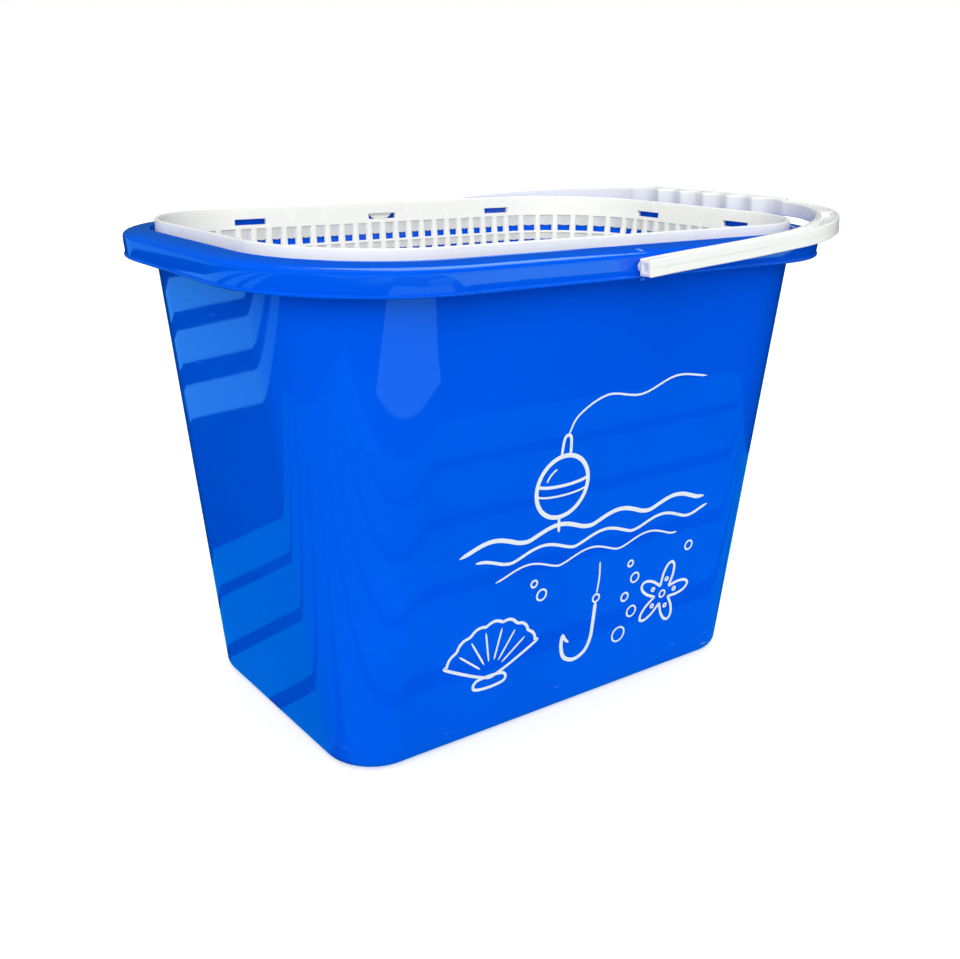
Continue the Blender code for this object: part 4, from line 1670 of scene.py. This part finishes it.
@dataclass
class FrontPrint:
    """A white line drawing of the sea on the front wall: waves, a float, a hook, a shell and a star."""

    bold: float = 2.4
    plain: float = 1.7
    fine: float = 1.1
    proud: float = 0.00007
    proud_step: float = 0.000002
    sunk: float = 0.00025
    finish: PrintInk = PrintInk()

    def ring(self, x: float, z: float, radius: float, width: float, points: int = 12) -> Stroke:
        """A round line.

        Args:
            x: its middle along the wall, in millimetres.
            z: its middle's height, in millimetres.
            radius: its radius, in millimetres.
            width: the line's width, in millimetres.
            points: how many points it has.

        Returns:
            The line.
        """
        turn = np.linspace(0, 2 * math.pi, points, endpoint=False)
        circle = np.column_stack([x + radius * np.cos(turn), z + radius * np.sin(turn)])
        return Stroke(tuple(map(tuple, circle)), width, True)

    def waves(self) -> list[Stroke]:
        """Three rolling crests, each line shorter and finer than the one above it.

        A line rises over its base by the sine of the distance along it, without its sign and to the
        power 1.5.

        Returns:
            The lines.
        """
        rise, length, shift = 5.5, 43.0, 9.0
        rows = ((-84, 88, 112, self.bold), (-74, 92, 102, self.plain), (-60, 70, 93, self.fine))
        lines = []
        for k, (low, high, z, width) in enumerate(rows):
            x = np.linspace(low, high, 29)
            lift = rise * np.abs(np.sin((x + shift * k) * math.pi / length)) ** 1.5
            lines.append(Stroke(tuple(zip(x, z + lift)), width, taper=4.0))
        return lines

    def float_and_hook(self) -> list[Stroke]:
        """A round float that rides on the water, its line, and a barbed hook on the line's end.

        Returns:
            The lines.
        """
        x, z, radius, shine_radius = -22.0, 139.0, 17.0, 11.5
        lines = [self.ring(x, z, radius, self.bold, 16)]
        turn = np.linspace(0, math.pi, 9)
        for rise, width in ((3.5, self.plain), (-2.0, self.fine)):
            belt = zip(x - radius * np.cos(turn) * 0.985, z + rise - 3.0 * np.sin(turn))
            lines.append(Stroke(tuple(belt), width))
        turn = np.linspace(math.radians(115), math.radians(160), 5)
        shine = zip(x + shine_radius * np.cos(turn), z + shine_radius * np.sin(turn))
        lines.append(Stroke(tuple(shine), self.fine, taper=1.5))
        cap = ((-3, 17), (-2.2, 26), (0, 28), (2.2, 26), (3, 17))
        lead = ((0, 28), (6, 38), (24, 46), (48, 43), (72, 50), (96, 47))
        keel = ((0, -17), (1, -26))
        parts = ((cap, self.plain, 1.0), (lead, self.fine, 3.0), (keel, self.plain, 1.0))
        for offsets, width, taper in parts:
            lines.append(Stroke(tuple((x + dx, z + dz) for dx, dz in offsets), width, taper=taper))
        lines.append(Stroke(((12, 88), (13, 78), (12.5, 68)), self.fine))
        lines.append(self.ring(12.5, 65.3, 2.4, self.fine, 8))
        shank = ((12.5, 63), (12.5, 50), (12.0, 40))
        bend = ((8.5, 32.5), (1.0, 29.5), (-6.5, 33), (-9.5, 41), (-9.2, 48.5))
        lines.append(Stroke(shank + bend, self.bold, taper=1.5))
        lines.append(Stroke(((-9.2, 48.5), (-7.0, 44.5), (-4.2, 42.0)), self.plain, taper=2.0))
        return lines

    def shell(self) -> list[Stroke]:
        """A fan-shaped shell with ribs and a scalloped edge.

        Returns:
            The lines.
        """
        x, z, reach = -58.0, 38.0, 31.0
        edge = np.linspace(math.radians(158), math.radians(22), 41)
        wave = reach + 1.5 * np.abs(np.sin(np.linspace(0, 7 * math.pi, 41)))
        rim = zip(x + wave * np.cos(edge), z + wave * np.sin(edge))
        lines = [Stroke(((x - 5, z), *rim, (x + 5, z)), self.plain, True)]
        for angle in np.radians((141, 121, 101, 79, 59, 39)):
            ends = [(x + far * math.cos(angle), z + far * math.sin(angle)) for far in (9.0, reach - 3.5)]
            middle = ((ends[0][0] + ends[1][0]) / 2, (ends[0][1] + ends[1][1]) / 2)
            lines.append(Stroke((ends[0], middle, ends[1]), self.fine, taper=4.0))
        hinge = ((x - 8, z - 1), (x - 10, z - 6), (x, z - 7.5), (x + 10, z - 6), (x + 8, z - 1))
        lines.append(Stroke(hinge, self.plain, True))
        return lines

    def star(self) -> list[Stroke]:
        """A soft five-armed star with a dot on each arm.

        Its radius swings by a cosine of five times the angle.

        Returns:
            The lines.
        """
        x, z, first_arm, dots = 66.0, 54.0, 78, 9.5
        turn = np.linspace(0, 2 * math.pi, 40, endpoint=False)
        radius = 13.5 + 7.0 * np.cos(5 * turn)
        turned = turn + math.radians(first_arm)
        outline = zip(x + radius * np.cos(turned), z + radius * np.sin(turned))
        lines = [Stroke(tuple(outline), self.plain, True)]
        for arm in np.radians(first_arm + 72 * np.arange(5)):
            lines.append(self.ring(x + dots * math.cos(arm), z + dots * math.sin(arm), 1.1, self.fine, 6))
        lines.append(self.ring(x, z, 2.2, self.fine, 8))
        return lines

    def bubbles(self) -> list[Stroke]:
        """Bubbles that rise past the hook, smaller towards the top.

        Returns:
            The lines.
        """
        places = [(34, 36, 4.6), (42, 49, 3.4), (35, 60, 2.6), (41, 71, 3.0)]
        places += [(36, 81, 1.9), (-28, 78, 3.2), (-34, 86, 2.0), (82, 82, 2.8)]
        return [self.ring(x, z, radius, self.fine, 10) for x, z, radius in places]

    def ribbon(self, stroke: Stroke, lift: float) -> tuple[np.ndarray, np.ndarray, list[np.ndarray]]:
        """Gives a stroke its width and lays it on the sloped wall.

        The edges lie half a width to each side of the curve, square to it. Towards an open end the
        width falls as the square root of the distance left, over the stroke's taper. The face lies
        a little proud of the wall, and the back as a second sheet inside it.

        Args:
            stroke: the line.
            lift: how far its face stands proud of the wall.

        Returns:
            Points, quads and end caps, numbered from 0.
        """
        course = stroke.course()
        if stroke.closed:
            along = np.roll(course, -1, 0) - np.roll(course, 1, 0)
        else:
            along = np.gradient(course, axis=0)
        along /= np.linalg.norm(along, axis=1)[:, None]
        side = np.column_stack([-along[:, 1], along[:, 0]])
        half = np.full(len(course), stroke.width * MM / 2)
        if not stroke.closed:
            step = np.linalg.norm(np.diff(course, axis=0), axis=1)
            travelled = np.concatenate([[0.0], np.cumsum(step)])
            left = np.minimum(travelled, travelled[-1] - travelled)
            half *= np.sqrt(np.clip(left / (stroke.taper * stroke.width * MM / 2), 0.05, 1.0))
        edges = [course + side * half[:, None], course - side * half[:, None]]
        corners = [(edges[0], self.sunk), (edges[0], -lift), (edges[1], -lift), (edges[1], self.sunk)]
        rings = np.stack([self.on_wall(flat, depth) for flat, depth in corners], axis=1)
        count = len(course)
        if stroke.closed:
            station, corner = np.meshgrid(np.arange(count), np.arange(4), indexing="ij")
            ahead, beside = (station + 1) % count, (corner + 1) % 4
            quads = [station * 4 + corner, station * 4 + beside, ahead * 4 + beside, ahead * 4 + corner]
            return rings.reshape(-1, 3), np.stack([q.ravel() for q in quads], axis=1), []
        caps = [np.arange(4)[::-1], (count - 1) * 4 + np.arange(4)]
        return rings.reshape(-1, 3), grid_quads(count, 4, True), caps

    @staticmethod
    def on_wall(flat: np.ndarray, depth: float) -> np.ndarray:
        """Puts points of the drawing on the front wall, whose half width grows evenly with height."""
        half_width = TUB.outer_wall(flat[:, 1])[:, 1]
        return np.column_stack([flat[:, 0], depth - half_width, flat[:, 1]])

    def build(self) -> list[bpy.types.Object]:
        """Builds the whole drawing as one piece that rides on the tub.

        Each stroke stands a little prouder than the one before it, so that no two faces lie in one
        plane where strokes cross.

        Returns:
            The drawing.
        """
        strokes = self.waves() + self.float_and_hook() + self.shell() + self.star() + self.bubbles()
        points: list[np.ndarray] = []
        quads: list[np.ndarray] = []
        caps: list[np.ndarray] = []
        first = 0
        for number, stroke in enumerate(strokes):
            corners, faces, ends = self.ribbon(stroke, self.proud + self.proud_step * number)
            points.append(corners)
            quads.append(faces + first)
            caps += [end + first for end in ends]
            first += len(corners)
        drawing = mesh_object("front_print", np.concatenate(points), np.concatenate(quads), caps)
        drawing.data.materials.append(self.finish.material())
        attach(drawing, "tub")
        return [drawing]



# Studio


@dataclass(frozen=True)
class SoftLight:
    """A rectangular light: where it hangs, what it faces, its size, power and colour."""

    name: str
    place: tuple[float, float, float]
    target: tuple[float, float, float]
    size: tuple[float, float]
    power: float
    colour: tuple[float, float, float] = (1.0, 1.0, 1.0)
    only_gloss: bool = False

    def build(self) -> None:
        """Hangs the light. One that is only for gloss shows in reflections and lights nothing else."""
        data = bpy.data.lights.new(self.name, "AREA")
        data.shape = "RECTANGLE"
        data.size, data.size_y = self.size
        data.energy = self.power
        data.color = self.colour
        light = bpy.data.objects.new(self.name, data)
        light.location = self.place
        aim = Vector(self.target) - Vector(self.place)
        light.rotation_euler = aim.to_track_quat("-Z", "Y").to_euler()
        light.visible_camera = False
        light.visible_diffuse = not self.only_gloss
        bpy.context.scene.collection.objects.link(light)


@dataclass
class Studio:
    """A plain pale floor, soft lights, and the camera at the photograph's place.

    What the gloss of the bucket shows of the floor is a pattern of its own, painted reflections that the
    floor
    gives off towards gloss alone: a dim ground with a row of strips along X, slanting bands beside them,
    open light further off and a panel in front. It is given by the colours and extents below, and the
    floor that the camera sees is plain.
    """

    camera_place: tuple[float, float, float] = (-0.37729, -0.50656, 0.32032)
    yaw: float = 0.6400
    pitch: float = -0.3197
    roll: float = 0.0163
    focal_pixels: float = 1115.1
    image_width: int = 960
    sensor: float = 36.0
    horizon: float = 0.62
    zenith: float = 1.00
    sun: float = 1.75
    sun_spread: float = 45.0
    sun_from: tuple[float, float, float] = (-0.52, -0.75, 0.42)
    bounce: float = 0.5
    floor_glow: float = 0.35
    floor_reach: float = 30.0
    floor_tints: tuple[Colour, Colour] = ((0.94, 0.935, 0.92), (0.95, 0.945, 0.93))
    floor_roughness: float = 0.8
    gloss_share: float = 0.12
    dim: Colour = (0.0, 0.02, 0.04)
    strip: Colour = (0.0, 0.32, 0.65)
    band: Colour = (0.12, 0.72, 1.35)
    open_light: Colour = (0.20, 0.80, 1.10)
    panel: Colour = (0.27, 0.95, 1.1)
    far_light: Colour = (0.06, 0.42, 1.0)
    side_light: Colour = (0.60, 1.6, 1.0)
    strip_pitch: float = 0.0725
    strip_gap: float = 0.0150
    strip_start: float = -0.137
    strip_area: tuple[tuple[float, float], ...] = ((-0.60, 0.50), (-0.425, 0.212))
    strip_blur: float = 0.004
    bands: tuple[tuple[float, float], ...] = ((0.4275, 0.543), (0.6295, 0.782), (0.882, 1.10))
    band_slant: float = 0.5
    band_root: float = -0.4
    band_blur: float = 0.01
    band_end: tuple[float, float] = (-0.3, -0.2)
    cloud_scale: float = 2.2
    cloud_range: tuple[float, float] = (0.42, 0.52)
    cloud_low: float = 0.3
    open_from: tuple[float, float] = (-1.0, -0.62)
    far_from: tuple[float, float] = (1.40, 1.48)
    side_from: tuple[tuple[float, float], ...] = ((0.27, 0.30), (-0.73, -0.72))
    side_fade: tuple[float, float] = (-2.4, -0.9)
    side_low: float = 0.35
    panel_area: tuple[tuple[float, float], ...] = ((-0.336, 0.175), (-0.826, -0.50))
    panel_blur: float = 0.006
    lights: tuple[SoftLight, ...] = (
        SoftLight("overhead_softbox", (-0.1, 0.1, 1.7), (0.0, 0.0, 0.2), (1.4, 1.4), 1.2),
        SoftLight(
            "gloss_softbox", (0.6, 0.25, 1.5), (0.6, 0.25, 0.0), (1.25, 1.1), 12.9, (0.65, 1.0, 1.0), True
        ),
    )

    def camera(self) -> None:
        """Places the camera from its yaw, pitch and roll.

        It looks along (sin yaw cos pitch, cos yaw cos pitch, sin pitch), and its right and up are
        turned about that line by the roll.
        """
        cos_pitch = math.cos(self.pitch)
        ahead = (math.sin(self.yaw) * cos_pitch, math.cos(self.yaw) * cos_pitch, math.sin(self.pitch))
        forward = Vector(ahead)
        right = Vector((math.cos(self.yaw), -math.sin(self.yaw), 0.0))
        up = right.cross(forward)
        right, up = (
            right * math.cos(self.roll) + up * math.sin(self.roll),
            up * math.cos(self.roll) - right * math.sin(self.roll),
        )
        data = bpy.data.cameras.new("photo_camera")
        data.sensor_width = self.sensor
        data.lens = self.focal_pixels / self.image_width * self.sensor
        data.clip_start = 0.01
        camera = bpy.data.objects.new("photo_camera", data)
        turned = Matrix((right, up, -forward)).transposed().to_4x4()
        camera.matrix_world = Matrix.Translation(self.camera_place) @ turned
        bpy.context.scene.collection.objects.link(camera)
        bpy.context.scene.camera = camera

    def floor(self) -> bpy.types.Object:
        """A wide pale floor as one sheet, which shows dim in the gloss of what stands on it.

        Returns:
            The floor.
        """
        grid = np.linspace(-self.floor_reach, self.floor_reach, 5)
        x, y = np.meshgrid(grid, grid)
        points = np.stack([x, y, np.zeros_like(x)], axis=-1).reshape(-1, 3)
        mesh = bpy.data.meshes.new("studio_floor")
        mesh.from_pydata(points.tolist(), [], grid_quads(5, 5, False).tolist())
        floor = bpy.data.objects.new("studio_floor", mesh)
        bpy.context.scene.collection.objects.link(floor)
        tree = Tree("pale_floor")
        path = tree.nodes.new("ShaderNodeLightPath")
        pale = tree.blend(tree.noise(3.0), *self.floor_tints)
        tint = tree.blend(path.outputs["Is Diffuse Ray"], pale, (self.bounce,) * 3)
        tree.link(tint, tree.shader.inputs["Base Color"])
        tree.shader.inputs["Roughness"].default_value = self.floor_roughness
        tree.shader.inputs["Emission Color"].default_value = (1.0, 1.0, 1.0, 1.0)
        shine = tree.combine("MULTIPLY", path.outputs["Is Camera Ray"], self.floor_glow)
        tree.link(shine, tree.shader.inputs["Emission Strength"])
        tree.shader.inputs["Specular IOR Level"].default_value = 0.0
        # Towards gloss the floor glows with painted reflections in place of its own shading.
        glow = tree.nodes.new("ShaderNodeEmission")
        tree.link(self.reflected(tree), glow.inputs["Color"])
        mix = tree.nodes.new("ShaderNodeMixShader")
        tree.link(path.outputs["Is Glossy Ray"], mix.inputs["Fac"])
        tree.link(tree.shader.outputs["BSDF"], mix.inputs[1])
        tree.link(glow.outputs["Emission"], mix.inputs[2])
        tree.link(mix.outputs["Shader"], tree.nodes["Material Output"].inputs["Surface"])
        floor.data.materials.append(tree.material)
        return floor

    def reflected(self, tree: Tree) -> Socket:
        """What the gloss of the bucket shows of the floor: painted reflections that the floor gives off
        towards gloss alone.

        A strip's place in its pitch is the fraction of (y - start) / pitch, and the gap between two
        strips is where that fraction lies near 0 or 1. A band is a range of y less a slant of x.

        Args:
            tree: the floor's node tree.

        Returns:
            The colour that the floor gives off towards gloss alone.
        """
        axes = tree.axes()
        x, y = axes["X"], axes["Y"]
        # Twenty pitches more leave the fraction as it is, and keep the number above nothing.
        shifted = tree.combine("ADD", y, 20 * self.strip_pitch - self.strip_start)
        place = tree.combine("FRACT", tree.combine("DIVIDE", shifted, self.strip_pitch))
        off_centre = tree.combine("ABSOLUTE", tree.combine("SUBTRACT", place, 0.5))
        edge = 0.5 - self.strip_gap / self.strip_pitch / 2
        strips = tree.ramp(off_centre, edge - 0.01, edge + 0.01, 1.0, 0.0)
        strips = tree.combine("MULTIPLY", strips, self.patch(tree, (x, y), self.strip_area, self.strip_blur))
        colour = tree.blend(strips, self.dim, self.strip)

        beside = tree.ramp(x, *self.band_end, 1.0, 0.0)
        rooted = tree.combine("MULTIPLY", tree.combine("ADD", x, -self.band_root), self.band_slant)
        slant = tree.combine("SUBTRACT", y, rooted)
        for low, high in self.bands:
            band = tree.combine("MULTIPLY", tree.within(slant, low, high, self.band_blur), beside)
            colour = tree.blend(band, colour, self.band)

        cloudy = tree.ramp(tree.noise(self.cloud_scale, 1.0), *self.cloud_range, self.cloud_low, 1.0)
        nearby = tree.combine("MULTIPLY", tree.ramp(y, *self.open_from, 1.0, 0.0), cloudy)
        colour = tree.blend(nearby, colour, self.open_light)
        far = tree.combine("MULTIPLY", tree.ramp(y, *self.far_from, 0.0, 1.0), beside)
        colour = tree.blend(far, colour, self.far_light)

        from_x, from_y = self.side_from
        beyond_x, beyond_y = tree.ramp(x, *from_x, 0.0, 1.0), tree.ramp(y, *from_y, 1.0, 0.0)
        bright = tree.combine("MULTIPLY", beyond_x, beyond_y)
        bright = tree.combine("MULTIPLY", bright, tree.ramp(y, *self.side_fade, self.side_low, 1.0))
        colour = tree.blend(bright, colour, self.side_light)
        panel = self.patch(tree, (x, y), self.panel_area, self.panel_blur)
        return tree.blend(panel, colour, self.panel)

    @staticmethod
    def patch(
        tree: Tree, axes: tuple[Socket, Socket], area: tuple[tuple[float, float], ...], blur: float
    ) -> Socket:
        """One inside a rectangle, given by its range along X and along Y, and nothing outside it."""
        along, across = (tree.within(axis, *extent, blur) for axis, extent in zip(axes, area))
        return tree.combine("MULTIPLY", along, across)

    def world(self) -> None:
        """A white surround that lights evenly and shows as a dim blue in gloss.

        The camera sees it plain white. It lights the bucket by a strength that goes from horizon to
        zenith with the height of the direction.
        """
        world = bpy.data.worlds.new("pale_surround")
        world.use_nodes = True
        nodes, links = world.node_tree.nodes, world.node_tree.links
        path = nodes.new("ShaderNodeLightPath")
        white = (1.0, 1.0, 1.0)
        seen, lighting, glossy = (nodes.new("ShaderNodeBackground") for _ in range(3))
        for background, colour in ((seen, white), (lighting, white), (glossy, self.open_light)):
            background.inputs["Color"].default_value = (*colour, 1.0)
        glossy.inputs["Strength"].default_value = self.gloss_share
        split, rise = nodes.new("ShaderNodeSeparateXYZ"), nodes.new("ShaderNodeMapRange")
        links.new(nodes.new("ShaderNodeTexCoord").outputs["Generated"], split.inputs["Vector"])
        links.new(split.outputs["Z"], rise.inputs["Value"])
        rise.inputs["To Min"].default_value = self.horizon
        rise.inputs["To Max"].default_value = self.zenith
        links.new(rise.outputs["Result"], lighting.inputs["Strength"])
        inner, outer = nodes.new("ShaderNodeMixShader"), nodes.new("ShaderNodeMixShader")
        links.new(path.outputs["Is Glossy Ray"], inner.inputs["Fac"])
        links.new(lighting.outputs["Background"], inner.inputs[1])
        links.new(glossy.outputs["Background"], inner.inputs[2])
        links.new(path.outputs["Is Camera Ray"], outer.inputs["Fac"])
        links.new(inner.outputs["Shader"], outer.inputs[1])
        links.new(seen.outputs["Background"], outer.inputs[2])
        links.new(outer.outputs["Shader"], nodes["World Output"].inputs["Surface"])
        bpy.context.scene.world = world

    def build(self) -> None:
        """Sets the whole studio up."""
        self.camera()
        self.floor()
        self.world()
        for light in self.lights:
            light.build()
        data = bpy.data.lights.new("soft_sun", "SUN")
        data.energy = self.sun
        data.angle = math.radians(self.sun_spread)
        sun = bpy.data.objects.new("soft_sun", data)
        sun.rotation_euler = Vector(self.sun_from).to_track_quat("Z", "Y").to_euler()
        sun.visible_glossy = False
        bpy.context.scene.collection.objects.link(sun)
        bpy.context.scene.view_settings.view_transform = "Standard"


def plain(bounds: tuple) -> list:
    """A box's two corners as plain lists of numbers."""
    return [[float(value) for value in corner] for corner in bounds]


def main() -> None:
    """Builds the three mouldings in order, then the studio."""
    logging.basicConfig(level=logging.INFO, format="%(name)s: %(message)s")
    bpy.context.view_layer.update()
    for maker in (TUB, Strainer(), Bail(), FrontPrint()):
        for piece in maker.build():
            LOG.info("%s has %d faces", piece.name, len(piece.data.polygons))
    Studio().build()


if __name__ == "__main__":
    main()
